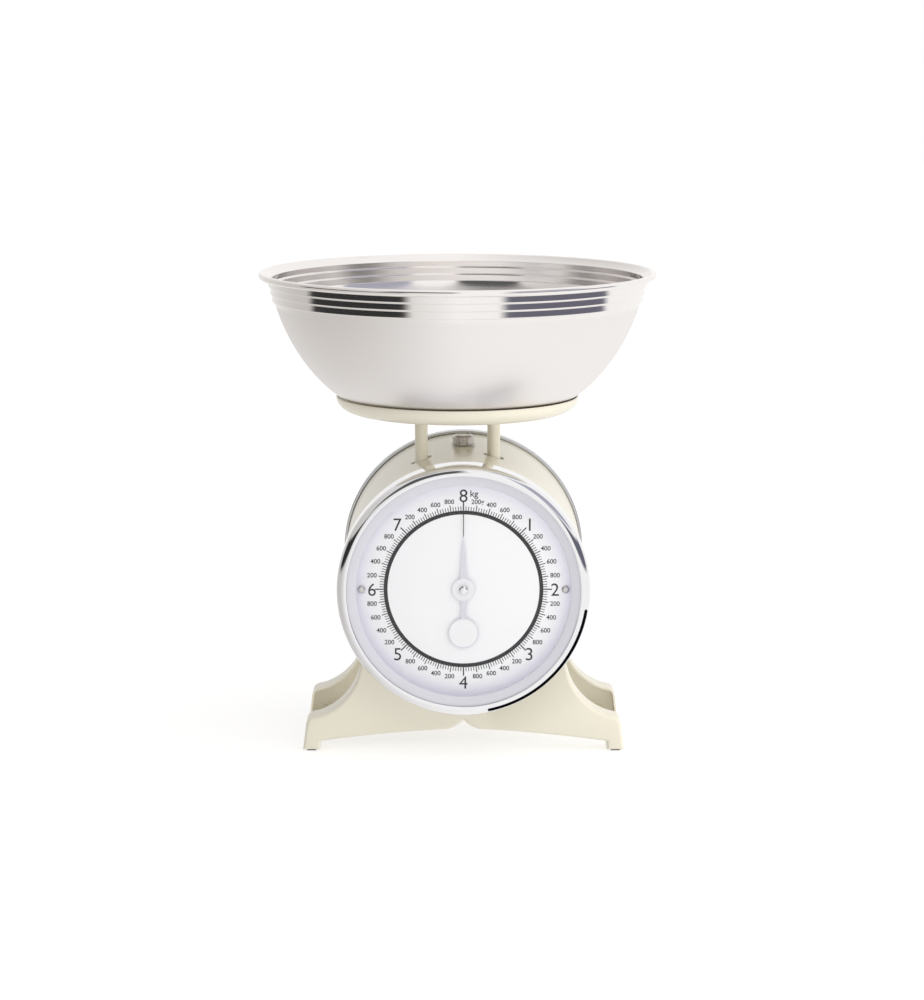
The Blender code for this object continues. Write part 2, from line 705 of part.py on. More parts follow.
def make_stand(name, y, facing):
    """Make one pressed stand: a plate with its edges turned back all round."""
    outline = stand_outline()
    mesh = bpy.data.meshes.new(name)
    bm = bmesh.new()
    face = bm.faces.new([bm.verts.new((x, 0.0, z)) for x, z in outline])
    rim = list(face.edges)
    skirt = bmesh.ops.extrude_edge_only(bm, edges=rim)
    moved = [item for item in skirt["geom"] if isinstance(item, bmesh.types.BMVert)]
    bmesh.ops.translate(bm, verts=moved, vec=(0.0, -facing * STAND_DEPTH, 0.0))
    bmesh.ops.bevel(
        bm,
        geom=rim,
        offset=STAND_EDGE_RADIUS * 0.5,
        segments=2,
        affect="EDGES",
        profile=0.5,
        clamp_overlap=True,
    )
    bmesh.ops.recalc_face_normals(bm, faces=bm.faces)
    bm.faces.ensure_lookup_table()
    front = max(bm.faces, key=lambda item: item.calc_area())
    if front.normal.y * facing < 0:
        bmesh.ops.reverse_faces(bm, faces=bm.faces)
    bm.to_mesh(mesh)
    bm.free()
    stand = place(name, mesh, PAINT, (0.0, y, 0.0))
    wall = stand.modifiers.new("sheet", "SOLIDIFY")
    wall.thickness = SHEET
    wall.offset = -1.0
    wall.use_even_offset = True
    return stand


def make_stands():
    """Make both stands, their screws into the drum and the rubber pads under their feet."""
    front = make_stand("front_stand", STAND_FRONT, -1)
    rear = make_stand("rear_stand", STAND_BACK, 1)
    for (row, depth_y), stand in zip(seat_screw_rows(), (front, rear)):
        for side_name, sign in (("left", -1), ("right", 1)):
            at, turn = seat_screw_place(sign, depth_y)
            hole = cutter("stand_hole_%s_%s" % (row, side_name), SCREW_RADIUS + GAP, 4 * SHEET, at, turn)
            cut(stand, hole)
            screw("stand_screw_%s_%s" % (row, side_name), at, turn)
    inset = FOOT_WIDTH / 2
    length = STAND_DEPTH - 2 * STAND_EDGE_RADIUS
    for row, y in (("front", STAND_FRONT + STAND_DEPTH / 2), ("rear", STAND_BACK - STAND_DEPTH / 2)):
        for side_name, sign in (("left", -1), ("right", 1)):
            width = FOOT_WIDTH - 2 * STAND_EDGE_RADIUS
            mesh = bpy.data.meshes.new("rubber_foot")
            bm = bmesh.new()
            bmesh.ops.create_cube(bm, size=1.0)
            bmesh.ops.scale(bm, vec=(width, length, PAD_PROUD - GAP), verts=bm.verts)
            bm.to_mesh(mesh)
            bm.free()
            x = sign * (STAND_WIDTH / 2 - inset)
            place("rubber_foot_%s_%s" % (row, side_name), mesh, RUBBER, (x, y, (PAD_PROUD - GAP) / 2))


# --- Dial and pointer --------------------------------------------------------------------------------

def make_dial():
    """Make the dial plate with its two screws and the spacers behind it."""
    holes = [circle(BUSH_RADIUS)]
    holes += [circle(SCREW_RADIUS + GAP, sign * DIAL_SCREW_PITCH) for sign in (-1, 1)]
    rim = circle(DIAL_RADIUS, count=STEPS_LARGE)
    middle = (DIAL_FRONT + DIAL_BACK) / 2
    plate("dial_plate", [rim] + holes, DIAL_THICKNESS, (WHITE, 0.35, 0.0), (0.0, middle, AXIS_Z), FRONTWARD)
    length = DIAL_STANDOFF - 2 * GAP
    for side_name, sign in (("left", -1), ("right", 1)):
        x = sign * DIAL_SCREW_PITCH
        reach = DIAL_THICKNESS + DIAL_STANDOFF + 2 * SHEET
        screw("dial_screw_" + side_name, (x, DIAL_FRONT - GAP, AXIS_Z), FRONTWARD, reach, DIAL_SCREW_HEAD)
        turned(
            "dial_spacer_" + side_name,
            tube_profile(SCREW_RADIUS + GAP, SCREW_HEAD_RADIUS, 0.0, length),
            ZINC,
            (x, BULKHEAD_FRONT - GAP, AXIS_Z),
            FRONTWARD,
            STEPS_SMALL,
            ring=True,
        )


def pointer_outline():
    """Return the pointer's outline, pointing up, with its tail and counterweight."""
    hub_cut = math.asin(POINTER_ROOT_WIDTH / 2 / POINTER_HUB_RADIUS)
    tail_cut = math.asin(TAIL_WIDTH / 2 / POINTER_HUB_RADIUS)
    weight_cut = math.asin(TAIL_WIDTH / 2 / COUNTERWEIGHT_RADIUS)
    right = [
        (POINTER_TIP_WIDTH / 2, POINTER_REACH),
        (POINTER_TIP_WIDTH / 2, POINTER_WAIST + 2 * POINTER_WAIST_WIDTH),
        (POINTER_WAIST_WIDTH / 2, POINTER_WAIST),
    ]
    start = math.pi / 2 - hub_cut
    right += circle(POINTER_HUB_RADIUS, 0.0, 0.0, 12, start, -(math.pi - hub_cut - tail_cut))
    start = math.pi / 2 - weight_cut
    right += circle(COUNTERWEIGHT_RADIUS, 0.0, -TAIL_REACH, 12, start, -(math.pi - weight_cut))
    foot = (0.0, -TAIL_REACH - COUNTERWEIGHT_RADIUS)
    return right[:-1] + [foot] + [(-x, z) for x, z in reversed(right[:-1])]


def make_pointer():
    """Make the pointer, its cap, its shaft and the pinion on the shaft."""
    middle = (POINTER_FRONT + POINTER_BACK) / 2
    bore = circle(SHAFT_RADIUS + GAP)
    plate(
        "pointer",
        [pointer_outline(), bore],
        POINTER_THICKNESS,
        (SILVER, 0.3, 0.9),
        (0.0, middle, AXIS_Z),
        FRONTWARD,
    )
    dome = [
        (CAP_RADIUS * math.sin(angle), CAP_HEIGHT * math.cos(angle))
        for angle in (math.radians(90 * i / 5) for i in range(6))
    ]
    cap = dome + [(0.0, 0.0)]
    turned("pointer_cap", cap, CHROME, (0.0, POINTER_FRONT - GAP, AXIS_Z), FRONTWARD, STEPS_SMALL)
    shaft_front = POINTER_FRONT
    shaft_back = BRACKET_BACK + FRAME_SHEET + BUSH_FLANGE + 2 * GAP
    shaft = [
        (0.0, shaft_back - shaft_front),
        (SHAFT_RADIUS, shaft_back - shaft_front),
        (SHAFT_RADIUS, 0.0),
        (0.0, 0.0),
    ]
    turned("pointer_shaft", shaft, ZINC, (0.0, shaft_back, AXIS_Z), FRONTWARD, STEPS_SMALL)

    pitch_angle = 2 * math.pi / PINION_TEETH
    tip = PITCH_RADIUS + 0.875 * PINION_MODULE
    root = PITCH_RADIUS - 1.25 * PINION_MODULE
    outline = []
    for i in range(PINION_TEETH):
        middle_angle = pitch_angle * i
        half = pitch_angle * RACK_TOOTH_SHARE / 2
        for radius, angle in (
            (root, middle_angle - half * 1.5),
            (tip, middle_angle - half * 0.5),
            (tip, middle_angle + half * 0.5),
            (root, middle_angle + half * 1.5),
        ):
            outline.append((radius * math.cos(angle), radius * math.sin(angle)))
    bore = circle(SHAFT_RADIUS + GAP)
    plate("drive_pinion", [outline, bore], PINION_FACE, YELLOW_BRASS, (0.0, RACK_Y, AXIS_Z), FRONTWARD)


def make_rack():
    """Make the toothed rack that stands on the yoke's tongue and turns the pinion."""
    pitch = math.pi * PINION_MODULE
    line = PITCH_RADIUS + RACK_BACKLASH
    tip = line - 0.875 * PINION_MODULE
    root = line + 1.25 * PINION_MODULE
    back = root + RACK_WIDTH
    quarter = pitch * RACK_TOOTH_SHARE / 4
    teeth = PINION_TEETH + 2 * RACK_SPARE_TEETH
    first = AXIS_Z - pitch * (RACK_SPARE_TEETH - 0.5)
    profile = [(back, YOKE_TOP + GAP), (back, first + pitch * (teeth - 0.5))]
    for i in reversed(range(teeth)):
        middle = first + pitch * i
        profile += [
            (root, middle + 3 * quarter),
            (tip, middle + quarter),
            (tip, middle - quarter),
            (root, middle - 3 * quarter),
        ]
    profile += [(root, YOKE_TOP + GAP)]
    plate("drive_rack", [profile], RACK_FACE, YELLOW_BRASS, (0.0, RACK_Y, 0.0), FRONTWARD)


# --- Movement ------------------------------------------------------------------------------------------

def frame_screw_places():
    """Return the places of the four screws that hold the frame to the bulkhead."""
    x = FRAME_HALF * 0.8
    low = FRAME_BOTTOM + 0.2 * FRAME_DROP
    high = FRAME_TOP - 0.2 * FRAME_DROP
    return [(sign * x, z) for z in (high, low) for sign in (-1, 1)]


def make_frame():
    """Make the C-shaped movement frame, its screws and the bracket behind the pinion."""
    profile = [
        (WEB_FRONT, FRAME_BOTTOM),
        (FRAME_REACH, FRAME_BOTTOM),
        (FRAME_REACH, SHELF_LOWER),
        (WEB_BACK, SHELF_LOWER),
        (WEB_BACK, SHELF_UPPER),
        (FRAME_REACH, SHELF_UPPER),
        (FRAME_REACH, FRAME_TOP),
        (WEB_FRONT, FRAME_TOP),
    ]
    frame = plate("movement_frame", [profile], 2 * FRAME_HALF, ZINC, (0.0, 0.0, 0.0), SIDEWARD)
    deep = 4 * FRAME_SHEET
    for side_name, sign in (("left", -1), ("right", 1)):
        for level, z in (("upper", SHELF_UPPER), ("lower", FRAME_BOTTOM)):
            at = (post_place(sign), 0.0, z + FRAME_SHEET / 2)
            name = "post_bush_%s_%s" % (level, side_name)
            cut(frame, cutter(name + "_hole", guide_radius() + GAP, deep, at))
            make_guide(name, (post_place(sign), 0.0, z))
    hole_radius = ZERO_SCREW_RADIUS + 2 * GAP
    cut(frame, cutter("zero_frame_hole", hole_radius, deep, (0.0, SPRING_Y, SHELF_UPPER + FRAME_SHEET / 2)))
    web = (WEB_FRONT + WEB_BACK) / 2
    cut(frame, cutter("shaft_hole", BUSH_RADIUS + GAP, deep, (0.0, web, AXIS_Z), FRONTWARD))
    for i, (x, z) in enumerate(frame_screw_places()):
        cut(frame, cutter("frame_hole_%d" % (i + 1), SCREW_RADIUS + GAP, deep, (x, web, z), FRONTWARD))
        screw("frame_screw_%d" % (i + 1), (x, BULKHEAD_FRONT - GAP, z), FRONTWARD, SCREW_LENGTH * 0.8)

    half = BRACKET_WIDTH / 2
    foot = WEB_BACK + GAP
    wide = half + BRACKET_FLARE
    outline = [
        (-wide, foot),
        (-half + FRAME_SHEET, foot),
        (-half + FRAME_SHEET, BRACKET_BACK),
        (half - FRAME_SHEET, BRACKET_BACK),
        (half - FRAME_SHEET, foot),
        (wide, foot),
        (wide, foot + FRAME_SHEET),
        (half, foot + FRAME_SHEET),
        (half, BRACKET_BACK + FRAME_SHEET),
        (-half, BRACKET_BACK + FRAME_SHEET),
        (-half, foot + FRAME_SHEET),
        (-wide, foot + FRAME_SHEET),
    ]
    bracket = plate("shaft_bracket", [outline], BRACKET_HEIGHT, ZINC, (0.0, 0.0, AXIS_Z))
    at = (0.0, BRACKET_BACK + FRAME_SHEET / 2, AXIS_Z)
    cut(bracket, cutter("bracket_hole", BUSH_RADIUS + GAP, deep, at, FRONTWARD))


def guide_radius():
    """Return the outer radius of a post bush where it sits in its shelf."""
    return POST_BORE + 0.0015


def make_guide(name, at):
    """Make a flanged post bush that sits in a shelf of the frame."""
    outer = guide_radius()
    flange = outer + BUSH_FLANGE
    top = FRAME_SHEET + GAP + BUSH_FLANGE
    seat = FRAME_SHEET + GAP
    profile = [
        (POST_BORE, top),
        (flange, top),
        (flange, seat),
        (outer, seat),
        (outer, -BUSH_FLANGE),
        (POST_BORE, -BUSH_FLANGE),
    ]
    turned(name, profile, PLASTIC, at, steps=STEPS_MEDIUM, ring=True)


def make_shaft_bushes():
    """Make the two flanged brass bushes that the pointer shaft turns in."""
    bore = SHAFT_RADIUS + RUNNING_FIT
    front_length = WEB_BACK - BULKHEAD_FRONT + BUSH_FLANGE
    for name, face, length in (
        ("shaft_bush_front", WEB_BACK + BUSH_FLANGE, front_length),
        ("shaft_bush_rear", BRACKET_BACK + FRAME_SHEET, FRAME_SHEET),
    ):
        profile = [
            (bore, length + GAP + BUSH_FLANGE),
            (BUSH_FLANGE_RADIUS, length + GAP + BUSH_FLANGE),
            (BUSH_FLANGE_RADIUS, length + GAP),
            (BUSH_RADIUS, length + GAP),
            (BUSH_RADIUS, 0.0),
            (bore, 0.0),
        ]
        turned(name, profile, YELLOW_BRASS, (0.0, face, AXIS_Z), FRONTWARD, STEPS_SMALL, ring=True)


def make_yoke():
    """Make the yoke that joins both posts, both springs and the rack."""
    left_end = post_place(-1) - YOKE_SIDE_MARGIN
    right_end = post_place(1) + YOKE_SIDE_MARGIN
    line = PITCH_RADIUS + RACK_BACKLASH
    tongue_left = line + 0.5 * PINION_MODULE
    tongue_right = tongue_left + TONGUE_WIDTH
    rim = [
        (left_end, YOKE_FRONT),
        (tongue_left, YOKE_FRONT),
        (tongue_left, TONGUE_FRONT),
        (tongue_right, TONGUE_FRONT),
        (tongue_right, YOKE_FRONT),
        (right_end, YOKE_FRONT),
        (right_end, YOKE_BACK),
        (left_end, YOKE_BACK),
    ]
    holes = []
    for sign in (-1, 1):
        holes.append(circle(POST_BORE, post_place(sign), 0.0, STEPS_MEDIUM))
        near = SPRING_Y - HOOK_STRIP / 2
        far = near - 2 * HOOK_RADIUS
        left = sign * SPRING_X - 2 * SPRING_WIRE
        right = sign * SPRING_X + 2 * SPRING_WIRE
        holes.append([(left, far), (right, far), (right, near), (left, near)])
    plate("carrier_yoke", [rim] + holes, YOKE_THICKNESS, ZINC, (0.0, 0.0, (YOKE_TOP + YOKE_BOTTOM) / 2))
    for side_name, sign in (("left", -1), ("right", 1)):
        profile = [(0.0, STOP_HEIGHT), (BUSH_RADIUS - 2 * GAP, STOP_HEIGHT), (BUSH_RADIUS, 0.0), (0.0, 0.0)]
        at = (sign * STOP_SPACING / 2, (YOKE_FRONT + YOKE_BACK) / 2, SHELF_LOWER + GAP)
        turned("overload_stop_" + side_name, profile, RUBBER, at, steps=STEPS_SMALL)


def spring_path(x, bottom, top):
    """Return the points of one spring: a hook, the coil and a hook."""
    coil_bottom = bottom + HOOK_RADIUS + 2 * SPRING_WIRE
    coil_top = top - HOOK_RADIUS - 2 * SPRING_WIRE
    count = SPRING_TURNS * SPRING_TURN_POINTS
    sweep = HOOK_SWEEP
    points = []
    for i in range(HOOK_POINTS):
        angle = sweep / 2 - sweep * i / (HOOK_POINTS - 1)
        points.append((x, SPRING_Y + HOOK_RADIUS * math.sin(angle), bottom - HOOK_RADIUS * math.cos(angle)))
    for i in range(count + 1):
        angle = math.pi / 2 + 2 * math.pi * i / SPRING_TURN_POINTS
        height = coil_bottom + (coil_top - coil_bottom) * i / count
        y = SPRING_Y + SPRING_RADIUS * math.sin(angle)
        points.append((x + SPRING_RADIUS * math.cos(angle), y, height))
    for i in range(HOOK_POINTS):
        angle = math.pi - sweep / 2 + sweep * i / (HOOK_POINTS - 1)
        points.append((x, SPRING_Y + HOOK_RADIUS * math.sin(angle), top - HOOK_RADIUS * math.cos(angle)))
    return points


def make_springs():
    """Make the two tension springs between the hanger bar and the yoke."""
    bottom = (YOKE_TOP + YOKE_BOTTOM) / 2 + HOOK_SLACK
    top = HANGER_Z - HOOK_SLACK
    for side_name, sign in (("left", -1), ("right", 1)):
        name = "spring_" + side_name
        curve = bpy.data.curves.new(name, "CURVE")
        curve.dimensions = "3D"
        curve.bevel_depth = SPRING_WIRE / 2
        curve.bevel_resolution = 2
        curve.use_fill_caps = True
        path = spring_path(sign * SPRING_X, bottom, top)
        spline = curve.splines.new("POLY")
        spline.points.add(len(path) - 1)
        for point, place_at in zip(spline.points, path):
            point.co = (*place_at, 1.0)
        place(name, curve_to_mesh(name, curve), ZINC, (0.0, 0.0, 0.0))


def make_zero_adjuster():
    """Make the zero knob, its screw and collar, and the hanger bar that the screw lifts."""
    radius = KNOB_DIAMETER / 2
    bore = ZERO_SCREW_RADIUS + GAP
    knob = [
        (0.0, KNOB_HEIGHT),
        (KNOB_CROWN / 2, KNOB_HEIGHT),
        (KNOB_CROWN / 2 + 2 * GAP, KNOB_HEIGHT - 2 * GAP),
        (radius, KNOB_HEIGHT - 4 * GAP),
        (radius, 2 * GAP),
        (radius - 2 * GAP, 0.0),
        (bore, 0.0),
        (bore, KNOB_HEIGHT / 2),
        (0.0, KNOB_HEIGHT / 2),
    ]
    turned("zero_knob", knob, (SILVER, 0.3, 1.0), (0.0, SPRING_Y, KNOB_BASE), steps=STEPS_MEDIUM)
    bottom = SHELF_UPPER - ZERO_SCREW_REACH
    length = KNOB_BASE + KNOB_HEIGHT / 2 - GAP - bottom
    stud = [
        (0.0, length),
        (ZERO_SCREW_RADIUS, length),
        (ZERO_SCREW_RADIUS, 2 * GAP),
        (ZERO_SCREW_RADIUS - 2 * GAP, 0.0),
        (0.0, 0.0),
    ]
    turned("zero_screw", stud, ZINC, (0.0, SPRING_Y, bottom), steps=STEPS_SMALL)
    collar = tube_profile(ZERO_SCREW_RADIUS + RUNNING_FIT, COLLAR_RADIUS, 0.0, COLLAR_HEIGHT)
    at = (0.0, SPRING_Y, FRAME_TOP + GAP)
    turned("zero_collar", collar, YELLOW_BRASS, at, steps=STEPS_SMALL, ring=True)

    half = SPRING_X + 2 * SPRING_WIRE
    boss = HANGER_BOSS / 2
    outline = [
        (-half, -HANGER_BAR_RADIUS),
        (-boss, -HANGER_BAR_RADIUS),
        (-boss, -boss),
        (boss, -boss),
        (boss, -HANGER_BAR_RADIUS),
        (half, -HANGER_BAR_RADIUS),
        (half, HANGER_BAR_RADIUS),
        (boss, HANGER_BAR_RADIUS),
        (boss, boss),
        (-boss, boss),
        (-boss, HANGER_BAR_RADIUS),
        (-half, HANGER_BAR_RADIUS),
    ]
    bore = circle(ZERO_SCREW_RADIUS + RUNNING_FIT)
    plate("spring_hanger", [outline, bore], 2 * HANGER_BAR_RADIUS, ZINC, (0.0, SPRING_Y, HANGER_Z))


def centre_on_bowl():
    """Move the whole scale, with its cutters, so that the bowl's axis is at x = 0."""
    for item in bpy.data.objects:
        item.location.x += POST_OFFSET


def main():
    """Build every piece of the scale."""
    make_bowl()
    make_tray()
    make_posts()
    make_drum()
    make_bulkhead()
    make_bezel()
    make_rear()
    make_stands()
    make_dial()
    make_pointer()
    make_rack()
    make_frame()
    make_shaft_bushes()
    make_yoke()
    make_springs()
    make_zero_adjuster()
    centre_on_bowl()


main()
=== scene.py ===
"""Looks of a mechanical kitchen scale with a round dial and a lift-off bowl.

Metres, +Z up.  The dial faces -Y.  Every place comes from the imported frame's own pieces.
"""

import json
import logging
import math
from dataclasses import dataclass
from enum import Enum
from typing import Iterable, Sequence

import bmesh
import bpy
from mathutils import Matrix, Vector


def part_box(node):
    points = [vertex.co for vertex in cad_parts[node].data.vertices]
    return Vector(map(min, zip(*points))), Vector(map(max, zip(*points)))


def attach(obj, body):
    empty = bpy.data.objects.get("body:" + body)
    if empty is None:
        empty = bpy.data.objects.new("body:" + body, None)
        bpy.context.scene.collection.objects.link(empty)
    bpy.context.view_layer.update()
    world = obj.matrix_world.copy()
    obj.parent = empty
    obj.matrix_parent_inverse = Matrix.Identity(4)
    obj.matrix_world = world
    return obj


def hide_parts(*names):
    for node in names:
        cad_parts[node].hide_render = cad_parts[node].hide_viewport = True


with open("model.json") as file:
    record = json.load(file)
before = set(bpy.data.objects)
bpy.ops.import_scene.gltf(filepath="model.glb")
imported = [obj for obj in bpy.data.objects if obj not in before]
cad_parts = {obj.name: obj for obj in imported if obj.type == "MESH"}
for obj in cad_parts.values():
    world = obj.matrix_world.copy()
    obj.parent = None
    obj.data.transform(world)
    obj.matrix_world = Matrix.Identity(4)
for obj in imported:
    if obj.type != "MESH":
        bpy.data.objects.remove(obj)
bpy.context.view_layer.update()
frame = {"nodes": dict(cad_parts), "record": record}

LOG = logging.getLogger("kitchen_scale")

Corner = tuple[float, float, float]
Flat = list[tuple[float, float]]
Colour = tuple[float, float, float]

MERGE = 0.000004                # welding distance
SHEET = 0.0012                  # pressed steel sheet
GAP = 0.0003                    # clearance between touching pieces
FACETS = 160                    # steps round a large turned piece
SMALL_FACETS = 48               # steps round a small one
CORNER_STEPS = 5                # points along a rounded corner


# --- Frame places -----------------------------------------------------------------------------

@dataclass(frozen=True)
class Box:
    """Lowest and highest corners of a CAD node at rest."""

    low: Vector
    high: Vector

    @property
    def centre(self) -> Vector:
        """Middle of the box."""
        return (self.low + self.high) / 2

    @property
    def radius(self) -> float:
        """Half the width along X, a turned piece's outer radius."""
        return (self.high.x - self.low.x) / 2


def box(node: str) -> Box:
    """Return the box of a CAD node.

    Args:
        node: The node's name.

    Returns:
        Its box at rest.
    """
    low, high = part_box(node)
    return Box(low, high)


class Body(Enum):
    """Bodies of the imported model."""

    HOUSING = "housing"
    PLATFORM = "platform"
    BOWL = "bowl"
    POINTER = "pointer"
    KNOB = "zero_knob"


class Spine(Enum):
    """Axis round which a piece is turned."""

    UP = (0.0, 0.0, 1.0)
    DEEP = (0.0, 1.0, 0.0)


# --- Modelling --------------------------------------------------------------------------------

def deselect() -> None:
    """Leave nothing selected and nothing in edit mode."""
    if bpy.context.object and bpy.context.object.mode != "OBJECT":
        bpy.ops.object.mode_set(mode="OBJECT")
    bpy.ops.object.select_all(action="DESELECT")


def activate(piece: bpy.types.Object) -> None:
    """Select one object only and make it active."""
    deselect()
    piece.select_set(True)
    bpy.context.view_layer.objects.active = piece


def rounded(corners: Sequence[Corner], closed: bool = False) -> Flat:
    """Return an outline whose corners are rounded.

    Args:
        corners: Points with the radius of each corner, 0 for a sharp one.
        closed: Whether the last point joins the first.

    Returns:
        The points, with each rounded corner as a short arc.
    """
    points: Flat = []
    count = len(corners)
    for i, (x, y, radius) in enumerate(corners):
        at = Vector((x, y))
        if radius == 0.0 or (not closed and i in (0, count - 1)):
            points.append((x, y))
            continue
        before = Vector(corners[i - 1][:2]) - at
        after = Vector(corners[(i + 1) % count][:2]) - at
        half = before.angle(after) / 2
        reach = min(radius / math.tan(half), 0.49 * before.length, 0.49 * after.length)
        first = at + before.normalized() * reach
        last = at + after.normalized() * reach
        for step in range(CORNER_STEPS):
            share = step / (CORNER_STEPS - 1)
            point = first * (1 - share) ** 2 + at * 2 * share * (1 - share) + last * share ** 2
            points.append((point.x, point.y))
    return points


def arc(radius: float, start: float, sweep: float, count: int, middle: Sequence[float] = (0.0, 0.0)) -> Flat:
    """Return points along an arc.

    Args:
        radius: The arc's radius.
        start: Angle of its first point, in radians.
        sweep: Angle from its first point to its last.
        count: Number of points.
        middle: The arc's centre.

    Returns:
        The points.
    """
    points: Flat = []
    for i in range(count):
        angle = start + sweep * i / (count - 1)
        points.append((middle[0] + radius * math.cos(angle), middle[1] + radius * math.sin(angle)))
    return points


def bow(first: Sequence[float], last: Sequence[float], rise: float, count: int) -> Flat:
    """Return points along a shallow arc between two points.

    Args:
        first: The first point.
        last: The last point.
        rise: How far the arc bows out to the left of the way from first to last.
        count: Number of points.

    Returns:
        The points.
    """
    start, end = Vector(first[:2]), Vector(last[:2])
    along = end - start
    left = Vector((-along.y, along.x)).normalized()
    length = along.length
    radius = (length ** 2 / 4 + rise ** 2) / (2 * abs(rise))
    points: Flat = []
    for i in range(count):
        run = length * i / (count - 1)
        out = math.sqrt(radius ** 2 - (run - length / 2) ** 2) - radius + abs(rise)
        point = start + along * (run / length) + left * math.copysign(out, rise)
        points.append((point.x, point.y))
    return points


def bezier(start: Sequence[float], pull: Sequence[float], push: Sequence[float],
           end: Sequence[float], count: int) -> Flat:
    """Return points along a cubic curve.

    Args:
        start: The first point.
        pull: The handle of the first point.
        push: The handle of the last point.
        end: The last point.
        count: Number of points.

    Returns:
        The points.
    """
    points: Flat = []
    for i in range(count):
        t = i / (count - 1)
        weights = ((1 - t) ** 3, 3 * t * (1 - t) ** 2, 3 * t ** 2 * (1 - t), t ** 3)
        x = sum(w * p[0] for w, p in zip(weights, (start, pull, push, end)))
        y = sum(w * p[1] for w, p in zip(weights, (start, pull, push, end)))
        points.append((x, y))
    return points


def offset(line: Flat, distance: float) -> Flat:
    """Return a line moved sideways, to the left of its run.

    Args:
        line: The points.
        distance: How far to move it.

    Returns:
        The moved points.
    """
    moved: Flat = []
    for i, (x, y) in enumerate(line):
        before = line[max(i - 1, 0)]
        after = line[min(i + 1, len(line) - 1)]
        run = Vector((after[0] - before[0], after[1] - before[1])).normalized()
        moved.append((x - run.y * distance, y + run.x * distance))
    return moved


def draw(name: str, points: Iterable[Sequence[float]], closed: bool = False) -> bpy.types.Object:
    """Draw a chain of edges in edit mode, by extruding one vertex from point to point.

    Args:
        name: The object's name.
        points: The points in space.
        closed: Whether the chain returns to its first point.

    Returns:
        The object, left in edit mode with its last vertex selected.
    """
    deselect()
    bpy.ops.mesh.primitive_plane_add(size=SHEET, location=(0.0, 0.0, 0.0))
    piece = bpy.context.object
    piece.name = name
    piece.data.name = name
    bpy.ops.object.mode_set(mode="EDIT")
    bpy.ops.mesh.merge(type="CENTER")
    route = [Vector(point) for point in points]
    if closed:
        route.append(route[0])
    bpy.ops.transform.translate(value=route[0])
    for here, there in zip(route, route[1:]):
        bpy.ops.mesh.extrude_vertices_move(TRANSFORM_OT_translate={"value": there - here})
    bpy.ops.mesh.select_all(action="SELECT")
    bpy.ops.mesh.remove_doubles(threshold=MERGE)
    return piece


def settle(piece: bpy.types.Object, sharp: float = 35.0) -> bpy.types.Object:
    """Weld a piece, turn its faces outwards and shade it.

    Args:
        piece: The object.
        sharp: Angle in degrees from which an edge stays sharp.

    Returns:
        The same object.
    """
    activate(piece)
    bpy.ops.object.mode_set(mode="EDIT")
    bpy.ops.mesh.select_all(action="SELECT")
    bpy.ops.mesh.remove_doubles(threshold=MERGE)
    bpy.ops.mesh.normals_make_consistent(inside=False)
    bpy.ops.object.mode_set(mode="OBJECT")
    bpy.ops.object.shade_smooth_by_angle(angle=math.radians(sharp))
    return piece


def turned(name: str, profile: Flat, centre: Vector, spine: Spine = Spine.UP, ring: bool = False,
           facets: int = FACETS) -> bpy.types.Object:
    """Turn a profile round an axis.

    Args:
        name: The piece's name.
        profile: Points as (radius, place along the axis).
        centre: A point on the axis.
        spine: The axis.
        ring: Whether the profile is closed and doesn't touch the axis.
        facets: Steps round the axis.

    Returns:
        The piece.
    """
    if spine is Spine.UP:
        points = [(centre.x + radius, centre.y, along) for radius, along in profile]
    else:
        points = [(centre.x + radius, along, centre.z) for radius, along in profile]
    piece = draw(name, points, closed=ring)
    bpy.ops.mesh.select_all(action="SELECT")
    bpy.ops.mesh.spin(steps=facets, angle=2 * math.pi, center=centre, axis=spine.value)
    return settle(piece)


def pressed(name: str, outline: Flat, depth: float, edge: float, place: Vector,
            segments: int = 2) -> bpy.types.Object:
    """Make a plate from an outline seen from the front, with its edges rounded.

    Args:
        name: The piece's name.
        outline: Points as (x, z).
        depth: The plate's thickness, towards the back.
        edge: Radius of its front and back edges.
        place: Where the outline's own zero lies, at the plate's front.
        segments: Steps of the rounding.

    Returns:
        The piece.
    """
    piece = draw(name, [place + Vector((x, 0.0, z)) for x, z in outline], closed=True)
    bpy.ops.mesh.edge_face_add()
    bpy.ops.mesh.extrude_region_move(TRANSFORM_OT_translate={"value": (0.0, depth, 0.0)})
    settle(piece)
    if edge:
        bevel(piece, edge, segments)
    return piece


def bevel(piece: bpy.types.Object, width: float, segments: int, angle: float = 40.0) -> None:
    """Round a piece's sharp edges and apply it.

    Args:
        piece: The object.
        width: The bevel's width.
        segments: Steps of the bevel.
        angle: Angle in degrees from which an edge is rounded.
    """
    rounding = piece.modifiers.new("rounding", "BEVEL")
    rounding.width = width
    rounding.segments = segments
    rounding.limit_method = "ANGLE"
    rounding.angle_limit = math.radians(angle)
    apply(piece, rounding)
    bpy.ops.object.shade_smooth_by_angle(angle=math.radians(angle))


def apply(piece: bpy.types.Object, modifier: bpy.types.Modifier) -> None:
    """Apply one modifier."""
    activate(piece)
    bpy.ops.object.modifier_apply(modifier=modifier.name)


def rod(name: str, radius: float, length: float, place: Vector, turn: Sequence[float] = (0.0, 0.0, 0.0),
        facets: int = SMALL_FACETS) -> bpy.types.Object:
    """Add a plain cylinder, the blank of a cutter.

    Args:
        name: Its name.
        radius: Its radius.
        length: Its length.
        place: Its middle.
        turn: Its rotation.
        facets: Steps round it.

    Returns:
        The cylinder.
    """
    deselect()
    bpy.ops.mesh.primitive_cylinder_add(vertices=facets, radius=radius, depth=length,
                                        location=place, rotation=turn)
    bpy.context.object.name = name
    return bpy.context.object


